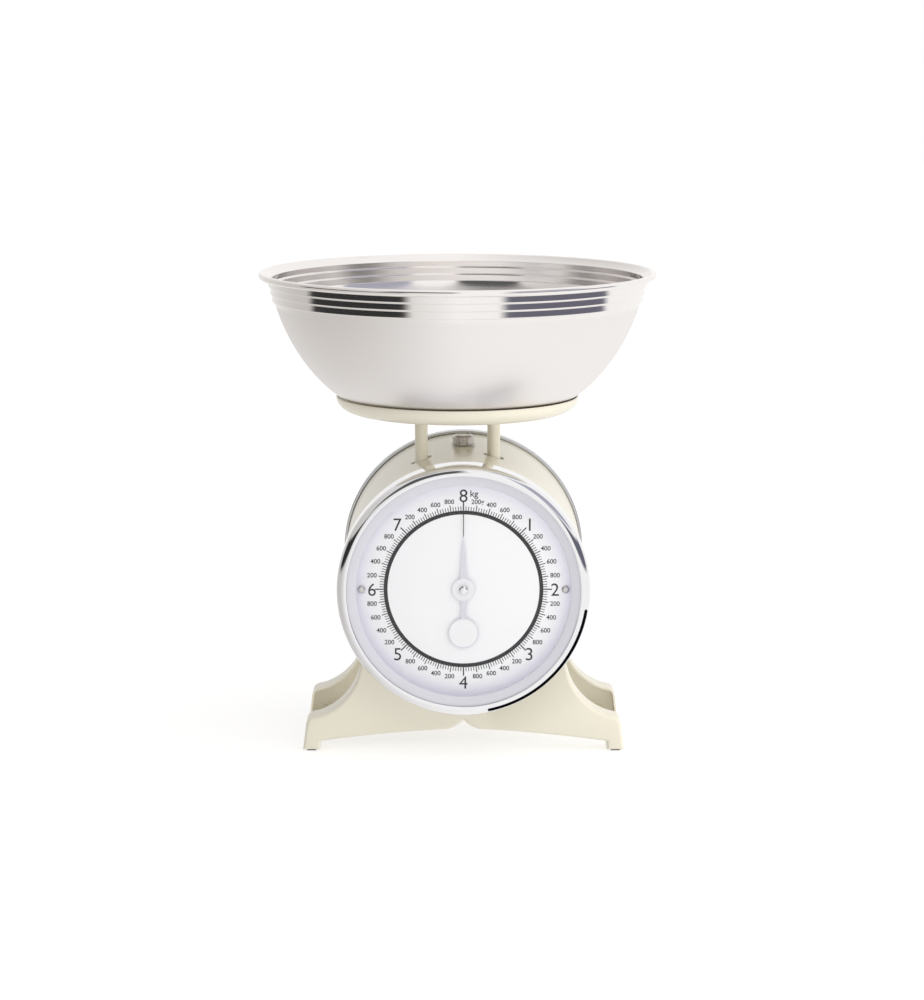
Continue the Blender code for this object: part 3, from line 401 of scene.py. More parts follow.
def block(name: str, size: Sequence[float], place: Vector, turn: Sequence[float] = (0.0, 0.0, 0.0),
          edge: float = 0.0, segments: int = 3) -> bpy.types.Object:
    """Add a box with its place applied.

    Args:
        name: Its name.
        size: Its sizes along X, Y and Z.
        place: Its middle.
        turn: Its rotation.
        edge: Radius of its edges.
        segments: Steps of the rounding.

    Returns:
        The box.
    """
    deselect()
    bpy.ops.mesh.primitive_cube_add(size=1.0, location=place, rotation=turn)
    piece = bpy.context.object
    piece.name = name
    piece.scale = size
    bpy.ops.object.transform_apply(location=True, rotation=True, scale=True)
    if edge:
        bevel(piece, edge, segments)
    return piece


def cut(piece: bpy.types.Object, cutter: bpy.types.Object) -> None:
    """Take a cutter's shape out of a piece and remove the cutter."""
    hole = piece.modifiers.new("hole", "BOOLEAN")
    hole.operation = "DIFFERENCE"
    hole.object = cutter
    apply(piece, hole)
    bpy.data.objects.remove(cutter)


def seat(piece: bpy.types.Object, place: Vector, turn: Sequence[float]) -> bpy.types.Object:
    """Put a piece that was modelled at the origin in its place, and apply it.

    Args:
        piece: The object.
        place: Its place.
        turn: Its rotation.

    Returns:
        The same object.
    """
    activate(piece)
    piece.location = place
    piece.rotation_euler = turn
    bpy.ops.object.transform_apply(location=True, rotation=True, scale=True)
    return piece


def joined(name: str, pieces: Sequence[bpy.types.Object]) -> bpy.types.Object:
    """Join several objects into one.

    Args:
        name: The joined object's name.
        pieces: The objects.

    Returns:
        The joined object.
    """
    activate(pieces[0])
    for piece in pieces:
        piece.select_set(True)
    bpy.ops.object.join()
    pieces[0].name = name
    pieces[0].data.name = name
    return pieces[0]


# --- Finishes ---------------------------------------------------------------------------------

class Nodes:
    """Node tree of a finish or of the sky, with the nodes that both use."""

    def __init__(self, tree: bpy.types.NodeTree) -> None:
        """Start from a node tree."""
        self.tree = tree

    def add(self, kind: str, inputs: dict[object, object] | None = None,
            **settings: object) -> bpy.types.Node:
        """Add a node.

        Args:
            kind: The node's type.
            inputs: Values or outputs for its inputs, by name or number.
            settings: Its properties.

        Returns:
            The node.
        """
        node = self.tree.nodes.new(kind)
        for key, value in settings.items():
            setattr(node, key, value)
        for key, value in (inputs or {}).items():
            if isinstance(value, bpy.types.NodeSocket):
                self.tree.links.new(value, node.inputs[key])
            else:
                node.inputs[key].default_value = value
        return node

    def maths(self, operation: str, first: object, second: object = 0.0) -> bpy.types.NodeSocket:
        """Return the result of one sum."""
        return self.add("ShaderNodeMath", {0: first, 1: second}, operation=operation).outputs[0]

    def span(self, value: bpy.types.NodeSocket, start: float, end: float, low: float = 0.0,
             high: float = 1.0) -> bpy.types.NodeSocket:
        """Return a value moved smoothly from one range to another."""
        return self.add("ShaderNodeMapRange", {0: value, 1: start, 2: end, 3: low, 4: high}).outputs[0]

    def mix(self, factor: bpy.types.NodeSocket, first: object, second: object) -> bpy.types.NodeSocket:
        """Return a mix of two colours or colour outputs."""
        ends = [end if isinstance(end, bpy.types.NodeSocket) else (*end, 1.0) for end in (first, second)]
        return self.add("ShaderNodeMix", {0: factor, 6: ends[0], 7: ends[1]}, data_type="RGBA").outputs[2]


class Board(Nodes):
    """Node tree of one finish, with the nodes that the finishes share."""

    def __init__(self, name: str, colour: Colour, metallic: float, roughness: float) -> None:
        """Start a material.

        Args:
            name: The material's name.
            colour: Its base colour, linear.
            metallic: Its metallic value.
            roughness: Its roughness.
        """
        self.material = bpy.data.materials.new(name)
        self.material.use_nodes = True
        super().__init__(self.material.node_tree)
        self.shader = self.tree.nodes["Principled BSDF"]
        self.set("Base Color", (*colour, 1.0))
        self.set("Metallic", metallic)
        self.set("Roughness", roughness)

    def set(self, socket: str, value: object) -> None:
        """Set a constant on the shader."""
        self.shader.inputs[socket].default_value = value

    def wire(self, output: bpy.types.NodeSocket, socket: str) -> None:
        """Link a value to the shader."""
        self.tree.links.new(output, self.shader.inputs[socket])

    def place(self, centre: Sequence[float] = (0.0, 0.0, 0.0)) -> bpy.types.NodeSocket:
        """Return the object's coordinates measured from a centre."""
        start = self.add("ShaderNodeTexCoord").outputs["Object"]
        back = tuple(-value for value in centre)
        return self.add("ShaderNodeMapping", {"Vector": start, "Location": back}).outputs[0]

    def polar(self, centre: Vector, spine: Spine) -> tuple[bpy.types.NodeSocket, bpy.types.NodeSocket]:
        """Return the radius and the place along the axis of a turned piece.

        Args:
            centre: A point on the axis.
            spine: The axis.

        Returns:
            The radius and the place along the axis, in metres.
        """
        parts = self.add("ShaderNodeSeparateXYZ", {0: self.place(centre)})
        across, along = ("Y", "Z") if spine is Spine.UP else ("Z", "Y")
        squares = [self.maths("MULTIPLY", parts.outputs[key], parts.outputs[key]) for key in ("X", across)]
        radius = self.maths("SQRT", self.maths("ADD", squares[0], squares[1]))
        return radius, parts.outputs[along]

    def grooves(self, centre: Vector, spine: Spine, scale: float) -> bpy.types.NodeSocket:
        """Return the fine rings that a lathe leaves, as a grey value."""
        radius, along = self.polar(centre, spine)
        spot = self.add("ShaderNodeCombineXYZ", {0: radius, 1: along})
        return self.noise(spot.outputs[0], scale, 3.0)

    def noise(self, vector: bpy.types.NodeSocket, scale: float, detail: float = 2.0) -> bpy.types.NodeSocket:
        """Return a noise."""
        node = self.add("ShaderNodeTexNoise", {"Vector": vector, "Scale": scale, "Detail": detail})
        return node.outputs[0]

    def bump(self, height: bpy.types.NodeSocket, depth: float, strength: float = 1.0) -> None:
        """Give the shader a bump of a depth in metres."""
        node = self.add("ShaderNodeBump", {"Height": height, "Distance": depth, "Strength": strength})
        self.wire(node.outputs[0], "Normal")


def shade(colour: Colour, factor: float) -> Colour:
    """Return a colour made darker or lighter."""
    return (colour[0] * factor, colour[1] * factor, colour[2] * factor)


@dataclass(frozen=True)
class Enamel:
    """Glossy stove enamel on pressed steel, with a faint orange peel."""

    name: str = "ivory_enamel"
    colour: Colour = (0.715, 0.675, 0.56)
    roughness: float = 0.30
    peel: float = 520.0

    def material(self) -> bpy.types.Material:
        """Build the finish."""
        board = Board(self.name, self.colour, 0.0, self.roughness)
        board.set("Coat Weight", 0.2)
        board.set("Coat Roughness", 0.08)
        place = board.place()
        clouds = board.noise(place, 14.0)
        board.wire(board.mix(clouds, shade(self.colour, 0.985), shade(self.colour, 1.015)), "Base Color")
        board.wire(board.span(clouds, 0.2, 0.8, self.roughness - 0.02, self.roughness + 0.02), "Roughness")
        board.bump(board.noise(place, self.peel, 1.0), 0.000006, 0.4)
        return board.material


@dataclass(frozen=True)
class SpunSteel:
    """Stainless steel spun on a lathe: satin side, polished neck and lip."""

    centre: Vector
    neck: float
    name: str = "spun_steel"
    colour: Colour = (0.90, 0.875, 0.86)
    satin: float = 0.36
    polish: float = 0.10

    def material(self) -> bpy.types.Material:
        """Build the finish."""
        board = Board(self.name, self.colour, 1.0, self.satin)
        rings = board.grooves(self.centre, Spine.UP, 2600.0)
        height = board.polar(self.centre, Spine.UP)[1]
        level = self.neck - self.centre.z
        gloss = board.span(height, level - 0.0035, level, self.satin, self.polish)
        scuff = board.span(rings, 0.3, 0.7, -0.035, 0.035)
        board.wire(board.maths("ADD", gloss, scuff), "Roughness")
        tone = board.noise(board.place(self.centre), 9.0, 3.0)
        board.wire(board.mix(tone, shade(self.colour, 0.97), shade(self.colour, 1.03)), "Base Color")
        board.bump(rings, 0.000006, 0.5)
        return board.material


@dataclass(frozen=True)
class Plated:
    """Bright plate or bare metal, with the fine rings or the grain of its making."""

    name: str
    colour: Colour
    roughness: float
    centre: Vector = Vector((0.0, 0.0, 0.0))
    spine: Spine = Spine.DEEP
    ring_scale: float = 1800.0
    ring_depth: float = 0.000003
    mottle: float = 0.03

    def material(self) -> bpy.types.Material:
        """Build the finish."""
        board = Board(self.name, self.colour, 1.0, self.roughness)
        rings = board.grooves(self.centre, self.spine, self.ring_scale)
        haze = board.noise(board.place(self.centre), 160.0, 4.0)
        spread = board.span(haze, 0.3, 0.7, self.roughness * 0.75, self.roughness * 1.3)
        board.wire(spread, "Roughness")
        dull, bright = shade(self.colour, 1 - self.mottle), shade(self.colour, 1 + self.mottle)
        board.wire(board.mix(haze, dull, bright), "Base Color")
        board.bump(rings, self.ring_depth, 0.5)
        return board.material


@dataclass(frozen=True)
class Paint:
    """Satin paint or moulded plastic with a fine grain, and, where a rim colour is given, a painted lilac
    shade towards the rim for the shadow of the ring and lens.
    """

    name: str
    colour: Colour
    roughness: float
    grain: float = 1500.0
    depth: float = 0.000004
    edge_colour: Colour | None = None
    centre: Vector = Vector((0.0, 0.0, 0.0))
    fade_start: float = 0.0
    fade_end: float = 1.0

    def material(self) -> bpy.types.Material:
        """Build the finish."""
        board = Board(self.name, self.colour, 0.0, self.roughness)
        place = board.place(self.centre)
        cloud = board.noise(place, 40.0, 3.0)
        tone = board.mix(cloud, shade(self.colour, 0.985), shade(self.colour, 1.01))
        # Painted shade: the colour turns lilac between the start and end radius, standing in for the shadow
        # that the ring and lens cast on the rim.
        if self.edge_colour:
            radius = board.polar(self.centre, Spine.DEEP)[0]
            rim_shade_mask = board.span(radius, self.fade_start, self.fade_end, 0.0, 1.0)
            tone = board.mix(rim_shade_mask, tone, self.edge_colour)
        board.wire(tone, "Base Color")
        board.wire(board.span(cloud, 0.3, 0.7, self.roughness - 0.03, self.roughness + 0.04), "Roughness")
        board.bump(board.noise(place, self.grain, 2.0), self.depth, 0.6)
        return board.material


@dataclass(frozen=True)
class PointerFinish:
    """Satin grey blade with a black tip and a white counterweight inside a bare rim."""

    axis: Vector
    tip_start: float = 0.033
    weight_reach: float = 0.027
    weight_radius: float = 0.0086
    hub_radius: float = 0.0068
    colour: Colour = (0.60, 0.60, 0.66)
    white: Colour = (0.76, 0.76, 0.775)
    black: Colour = (0.02, 0.02, 0.022)

    def material(self) -> bpy.types.Material:
        """Build the finish."""
        board = Board("pointer_satin", self.colour, 0.0, 0.36)
        haze = board.noise(board.place(self.axis), 260.0, 3.0)
        blade = board.mix(haze, shade(self.colour, 0.97), shade(self.colour, 1.03))
        middle = self.axis - Vector((0.0, 0.0, self.weight_reach))
        discs = []
        for centre, radius, share in ((middle, self.weight_radius, 1.0), (self.axis, self.hub_radius, 0.75)):
            reach = board.polar(centre, Spine.DEEP)[0]
            discs.append(board.span(reach, radius - 0.0001, radius, share, 0.0))
        inside = board.maths("MAXIMUM", *discs)
        rise = board.add("ShaderNodeSeparateXYZ", {0: board.place(self.axis)}).outputs["Z"]
        tip = board.span(rise, self.tip_start - 0.0005, self.tip_start, 0.0, 1.0)
        painted = board.mix(inside, blade, self.white)
        board.wire(board.mix(tip, painted, self.black), "Base Color")
        board.wire(board.span(haze, 0.3, 0.7, 0.32, 0.40), "Roughness")
        board.bump(haze, 0.000002, 0.4)
        return board.material


@dataclass(frozen=True)
class ClearLens:
    """Thin clear pane that shows little more than its gloss."""

    name: str = "clear_lens"
    alpha: float = 0.015

    def material(self) -> bpy.types.Material:
        """Build the finish."""
        board = Board(self.name, (0.95, 0.96, 0.97), 0.0, 0.02)
        board.set("Alpha", self.alpha)
        board.set("IOR", 1.49)
        haze = board.noise(board.place(), 60.0)
        board.wire(board.span(haze, 0.3, 0.7, 0.015, 0.04), "Roughness")
        return board.material


class Slot(Enum):
    """The record's material slots."""

    IVORY = "ivory_paint"
    STEEL = "polished_steel"
    CHROME = "bezel_chrome"
    RIM = "rim_metal"
    KNOB = "knob_metal"
    RING = "dial_ring_grey"
    LENS = "lens_clear"
    DIAL = "dial_white"
    POINTER = "pointer_metal"
    ZINC = "zinc_steel"
    SCREW = "screw_steel"
    SPRING = "spring_steel"
    BRASS = "brass"
    NYLON = "nylon"
    RUBBER = "black_rubber"


class Palette:
    """Every finish of the scale, one for each slot, and the dial's ink."""

    def __init__(self) -> None:
        """Build the materials."""
        bowl, drum, plate, knob = box("bowl"), box("drum_shell"), box("dial_plate"), box("zero_knob")
        axis = Vector((drum.centre.x, 0.0, drum.centre.z))
        neck = Vector((bowl.centre.x, bowl.centre.y, bowl.low.z))
        self.slots = {
            Slot.IVORY: Enamel().material(),
            Slot.STEEL: SpunSteel(neck, bowl.high.z - Bowl.neck_drop).material(),
            Slot.CHROME: Plated("bright_chrome", (0.88, 0.88, 0.90), 0.055, axis,
                                ring_depth=0.0000012).material(),
            Slot.RIM: Plated("satin_rim", (0.60, 0.61, 0.63), 0.24, axis).material(),
            Slot.KNOB: Plated("knurled_nickel", (0.50, 0.47, 0.43), 0.26, knob.centre, Spine.UP).material(),
            Slot.RING: Paint("lilac_grey_satin", (0.59, 0.585, 0.635), 0.34, centre=axis).material(),
            Slot.LENS: ClearLens().material(),
            # Painted shade: the dial is tinted lilac over its outer fifth, for the shadow of the ring and
            # lens.
            Slot.DIAL: Paint("dial_white_satin", (0.80, 0.80, 0.815), 0.42, edge_colour=(0.80, 0.79, 0.90),
                             centre=axis, fade_start=plate.radius * 0.80, fade_end=plate.radius).material(),
            Slot.POINTER: PointerFinish(axis).material(),
            Slot.ZINC: Plated("zinc_sheet", (0.56, 0.56, 0.55), 0.34, axis, mottle=0.08).material(),
            Slot.SCREW: Plated("screw_zinc", (0.66, 0.65, 0.64), 0.22, axis).material(),
            Slot.SPRING: Plated("spring_wire", (0.36, 0.36, 0.37), 0.28, axis).material(),
            Slot.BRASS: Plated("turned_brass", (0.78, 0.58, 0.25), 0.24, axis).material(),
            Slot.NYLON: Paint("natural_nylon", (0.78, 0.76, 0.68), 0.50).material(),
            Slot.RUBBER: Paint("matt_rubber", (0.022, 0.022, 0.024), 0.78, 900.0, 0.00003).material(),
        }
        self.ink = Paint("dial_ink", (0.008, 0.008, 0.010), 0.6).material()


@dataclass
class Assembly:
    """What every sub-assembly of the scale shares."""

    palette: Palette

    def hand_over(self, piece: bpy.types.Object, body: Body, slot: Slot, *nodes: str,
                  material: bpy.types.Material | None = None) -> None:
        """Dress a finished piece and set it on its body.

        Args:
            piece: The piece.
            body: The body that it moves with.
            slot: The record's slot.
            nodes: CAD nodes that it stands for.
            material: Its material, if it isn't the slot's own.
        """
        piece.data.materials.clear()
        piece.data.materials.append(material or self.palette.slots[slot])
        piece.data.name = piece.name
        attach(piece, body.value)
        if nodes:
            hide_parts(*nodes)
        LOG.info("%s: %d faces, rides on %s", piece.name, len(piece.data.polygons), body.value)


# --- Sub-assemblies -----------------------------------------------------------------------------

@dataclass
class Screws(Assembly):
    """Pan head screws with a cross recess."""

    shank: float = 0.0014
    blade: float = 0.0009

    def fit(self, node: str, body: Body, radius: float, height: float, length: float, place: Vector,
            turn: Sequence[float] = (0.0, 0.0, 0.0)) -> None:
        """Make one screw and set it on its body.

        Args:
            node: The CAD node that it stands for.
            body: The body that it moves with.
            radius: Its head's radius.
            height: Its head's height.
            length: Its shank's length.
            place: The underside of its head.
            turn: Its rotation from head up.
        """
        flank = [(0.0, -length, 0.0), (self.shank, -length, 0.0003), (self.shank, 0.0, 0.0),
                 (radius, 0.0, 0.0002), (radius, height * 0.45, height * 0.5),
                 (radius * 0.62, height, height), (0.0, height, 0.0)]
        screw = turned(node + "_turned", rounded(flank), Vector(), facets=SMALL_FACETS)
        for spin in (math.radians(25), math.radians(115)):
            size = (radius * 1.25, self.blade, height)
            cut(screw, block("recess", size, Vector((0.0, 0.0, height)), (0.0, 0.0, spin)))
        settle(screw)
        self.hand_over(seat(screw, place, turn), body, Slot.SCREW, node)


@dataclass
class Bowl(Assembly):
    """Loose bowl of spun steel with three stepped bands below its rolled lip."""

    base_diameter: float = 0.100
    wall: float = 0.0010
    neck_inset: float = 0.0098
    neck_drop: float = 0.0180
    seat_gap: float = 0.0004
    lip_radius: float = 0.0020
    band_pitch: float = 0.0046
    band_out: float = 0.0018
    band_lean: float = 0.0007
    band_round: float = 0.0006
    facets: int = 192

    def side(self) -> Flat:
        """Return the outer side from the base up to the neck."""
        shell, tray = box("bowl"), box("tray")
        base = (self.base_diameter / 2, shell.low.z)
        rest = (tray.radius - SHEET - self.seat_gap, tray.high.z + GAP)
        neck = (shell.radius - self.neck_inset, shell.high.z - self.neck_drop)

        def between(start: Sequence[float], end: Sequence[float], across: float,
                    along: float) -> Sequence[float]:
            """Return the point at given shares of the way."""
            return start[0] + across * (end[0] - start[0]), start[1] + along * (end[1] - start[1])

        foot = bezier(base, between(base, rest, 0.33, 0.0), between(base, rest, 0.67, 0.365), rest, 14)
        body = bezier(rest, between(rest, neck, 0.43, 0.194), between(rest, neck, 0.826, 0.58), neck, 30)
        return foot[:-1] + body

    def bands(self, neck: Sequence[float]) -> list[Corner]:
        """Return the corners of the three bands above the neck, each leaning in towards its top.

        Args:
            neck: The neck's point.

        Returns:
            Corners from the neck up to the last band's top.
        """
        radius, height = neck[0], neck[1]
        corners = [(radius, height, self.band_round / 2)]
        for _ in range(3):
            radius += self.band_out
            corners.append((radius, height + self.band_round, self.band_round))
            radius -= self.band_lean
            height += self.band_pitch
            corners.append((radius, height, self.band_round / 2))
        return corners

    def build(self) -> None:
        """Make the bowl."""
        shell = box("bowl")
        side = self.side()
        lip = shell.radius - self.lip_radius
        level = shell.high.z - self.lip_radius
        corners = self.bands(side[-1])
        shifted = offset([(x, z) for x, z, _ in corners], self.wall)
        corners_in = [(x, z, radius) for (x, z), (_, _, radius) in zip(shifted, corners)]
        under = (lip, level)
        outer = [(0.0, shell.low.z)] + side[:-1] + rounded(corners + [(*under, 0.0)])[:-1]
        inner = offset([(0.0, shell.low.z)] + side[:-1], self.wall)
        inner += rounded(corners_in + [(*under, 0.0)])[:-1]
        inner[0] = (0.0, shell.low.z + self.wall)
        roll = arc(self.lip_radius, math.radians(160), -math.radians(290), 20, under)
        profile = inner + roll + outer[::-1]
        centre = Vector((shell.centre.x, shell.centre.y, 0.0))
        piece = turned("bowl_spun", profile, centre, facets=self.facets)
        bpy.ops.object.shade_smooth_by_angle(angle=math.radians(60))
        self.hand_over(piece, Body.BOWL, Slot.STEEL, "bowl")


@dataclass
class Platform(Assembly):
    """Tray, posts and tray screws, which sink together under a load."""

    flat_diameter: float = 0.116
    rim_round: float = 0.0005

    def tray(self) -> None:
        """Make the shallow dish."""
        dish = box("tray")
        flat = self.flat_diameter / 2
        rim = dish.radius
        depth = dish.high.z - dish.low.z
        pull = flat + (rim - flat) * 0.55
        low = dish.low.z
        side = bezier((flat, low), (pull, low), (rim, low + depth * 0.3), (rim, dish.high.z), 22)
        under = [(0.0, low)] + side
        upper = offset(under, SHEET)
        upper[0] = (0.0, low + SHEET)
        top = dish.high.z
        rim_top = rounded([(rim - SHEET, top - SHEET, 0.0), (rim - SHEET, top, self.rim_round),
                           (rim, top, self.rim_round), (rim, top - SHEET, 0.0)])
        profile = upper[:-1] + rim_top + under[-2::-1]
        piece = turned("tray_dish", profile, Vector((dish.centre.x, dish.centre.y, 0.0)))
        self.hand_over(piece, Body.PLATFORM, Slot.IVORY, "tray")

    def posts(self) -> None:
        """Make the two posts."""
        for side in ("left", "right"):
            post = box("post_" + side)
            radius = post.radius
            profile = rounded([(0.0, post.high.z, 0.0), (radius, post.high.z, 0.0004),
                               (radius, post.low.z, 0.0006), (0.0, post.low.z, 0.0)])
            centre = Vector((post.centre.x, post.centre.y, 0.0))
            piece = turned("post_rod_" + side, profile, centre, facets=SMALL_FACETS)
            self.hand_over(piece, Body.PLATFORM, Slot.IVORY, "post_" + side)

    def screws(self) -> None:
        """Make the screws that hold the tray on the posts."""
        for side in ("left", "right"):
            name = "tray_screw_" + side
            old = box(name)
            under = box("tray").low.z + SHEET + GAP
            place = Vector((old.centre.x, old.centre.y, under))
            screws = Screws(self.palette)
            screws.fit(name, Body.PLATFORM, old.radius, old.high.z - under, under - old.low.z, place)

    def build(self) -> None:
        """Make the platform."""
        self.tray()
        self.posts()
        self.screws()


@dataclass
class Drum(Assembly):
    """Drum shell with its slots, the rear rim and the rear cover."""

    wall: float = 0.0008
    rows: int = 16
    slot_side_room: float = 0.0045
    slot_end_room: float = 0.0015
    zero_hole: float = 0.0036
    rim_ledge: float = 0.009
    cover_slope: float = 0.026
    screw_head: float = 0.0029
    screw_height: float = 0.0014

    def axis(self) -> Vector:
        """Return the middle of the drum's axis."""
        return box("drum_shell").centre

    def shell(self) -> None:
        """Make the open shell and cut its slots."""
        drum = box("drum_shell")
        outer, bore = drum.radius, drum.radius - self.wall
        front, back = drum.low.y, drum.high.y
        edge = self.wall * 0.4
        rows = [(outer, front + (back - front) * i / self.rows, 0.0) for i in range(1, self.rows)]
        profile = rounded([(bore, front, edge), (outer, front, edge), *rows, (outer, back, edge),
                           (bore, back, edge)], True)
        piece = turned("drum_body", profile, self.axis(), Spine.DEEP, ring=True)
        top = drum.high.z
        for side in ("left", "right"):
            post = box("post_" + side)
            size = (2 * post.radius + self.slot_side_room, 2 * post.radius + self.slot_end_room, 0.04)
            place = Vector((post.centre.x, post.centre.y, top - 0.005))
            cut(piece, block("slot_cutter", size, place, edge=0.0015))
        knob = box("zero_knob").centre
        cut(piece, rod("zero_cutter", self.zero_hole, 0.04, Vector((knob.x, knob.y, top))))
        settle(piece, 30.0)
        self.hand_over(piece, Body.HOUSING, Slot.IVORY, "drum_shell")

    def rear(self) -> None:
        """Make the rear rim, the domed cover and its screws."""
        rim, cover, shell = box("rear_rim"), box("rear_cover"), box("drum_shell")
        bore = shell.radius + GAP
        ledge = shell.radius - self.wall - self.rim_ledge
        front, back = rim.low.y, rim.high.y
        profile = rounded([(bore, front, 0.0003), (rim.radius, front, 0.0006), (rim.radius, back, 0.0012),
                           (ledge, back, 0.0003), (ledge, back - SHEET, 0.0003),
                           (bore, back - SHEET, 0.0003)], True)
        piece = turned("rear_rim_ring", profile, self.axis(), Spine.DEEP, ring=True)
        self.hand_over(piece, Body.HOUSING, Slot.RIM, "rear_rim")

        radius = cover.radius
        flat = ledge - self.cover_slope
        inside, dome = cover.low.y, cover.high.y
        outline = [(0.0, dome - SHEET, 0.0), (flat, dome - SHEET, 0.006), (ledge, inside, 0.004),
                   (radius, inside, 0.0004), (radius, inside + SHEET, 0.0005), (ledge, inside + SHEET, 0.004),
                   (flat, dome, 0.006), (0.0, dome, 0.0)]
        piece = turned("rear_cover_pressing", rounded(outline), self.axis(), Spine.DEEP)
        self.hand_over(piece, Body.HOUSING, Slot.IVORY, "rear_cover")
        for i in (1, 2, 3):
            name = "rear_screw_%d" % i
            old = box(name)
            place = Vector((old.centre.x, old.high.y - self.screw_height, old.centre.z))
            length = old.high.y - old.low.y - self.screw_height
            screws = Screws(self.palette)
            screws.fit(name, Body.HOUSING, self.screw_head, self.screw_height, length, place,
                       (-math.pi / 2, 0.0, 0.0))

    def build(self) -> None:
        """Make the drum."""
        self.shell()
        self.rear()


@dataclass
class Face(Assembly):
    """Bezel, inner ring, lens and the spacer that carries it."""

    wall: float = 0.0008
    rounding: float = 0.0052
    ring_rise: float = 0.0014
    facets: int = 192

    def build(self) -> None:
        """Make the pieces round the dial."""
        axis = box("drum_shell").centre
        bezel, ring, lens, spacer = (box(name) for name in ("bezel", "dial_ring", "lens", "lens_spacer"))
        outer, bore = bezel.radius, bezel.radius - self.wall
        front, back = bezel.low.y, bezel.high.y
        lip = outer - self.rounding
        outside = [(lip + x, front + self.rounding - y)
                   for x, y in arc(self.rounding, math.pi / 2, -math.pi / 2, 14)]
        tight = self.rounding - self.wall
        inside = [(bore - tight + x, front + self.wall + tight - y)
                  for x, y in arc(tight, 0.0, math.pi / 2, 12)]
        edge = rounded([(lip, front + self.wall, 0.0), (lip - self.wall, front + self.wall, 0.0003),
                        (lip - self.wall, front + self.wall * 0.2, 0.0003), (lip, front, 0.0)])
        tail = rounded([(outer, back - self.wall, 0.0), (outer, back, 0.0002), (bore, back, 0.0002),
                        (bore, back - self.wall, 0.0)])
        profile = edge + outside[1:] + tail + inside[:-1]
        piece = turned("bezel_rim", profile, axis, Spine.DEEP, ring=True, facets=self.facets)
        self.hand_over(piece, Body.HOUSING, Slot.CHROME, "bezel")

        inner = self.ring_bore()
        profile = rounded([(inner, ring.high.y, 0.0002), (inner, ring.low.y + self.ring_rise, 0.0005),
                           (ring.radius, ring.low.y, 0.0003), (ring.radius, ring.high.y, 0.0)], True)
        piece = turned("dial_ring_pressing", profile, axis, Spine.DEEP, ring=True, facets=self.facets)
        self.hand_over(piece, Body.HOUSING, Slot.RING, "dial_ring")

        profile = rounded([(0.0, lens.low.y, 0.0), (lens.radius, lens.low.y, 0.0003),
                           (lens.radius, lens.high.y, 0.0003), (0.0, lens.high.y, 0.0)])
        piece = turned("lens_pane", profile, axis, Spine.DEEP)
        self.hand_over(piece, Body.HOUSING, Slot.LENS, "lens")

        plate = box("dial_plate")
        bore = plate.radius + 2 * GAP
        profile = rounded([(bore, spacer.low.y, 0.0003), (spacer.radius, spacer.low.y, 0.0003),
                           (spacer.radius, spacer.high.y, 0.0003), (bore, spacer.high.y, 0.0003)], True)
        piece = turned("lens_spacer_ring", profile, axis, Spine.DEEP, ring=True)
        # The spacer takes the dial's finish, so its wall lies wholly in the painted lilac rim shade.
        self.hand_over(piece, Body.HOUSING, Slot.DIAL, "lens_spacer")

    def ring_bore(self) -> float:
        """Return the inner radius of the dial ring, read from its CAD mesh."""
        axis = box("drum_shell").centre
        mesh = frame["nodes"]["dial_ring"].data
        return min(math.hypot(v.co.x - axis.x, v.co.z - axis.z) for v in mesh.vertices)


TICKS = ((25, 0.0510, 0.00044, 0.0), (5, 0.0522, 0.00054, 0.00001), (1, 0.0538, 0.00072, 0.00002))
"""Kinds of tick: how many in a kilo, radius of the outer end, width, and lift above the thinnest."""


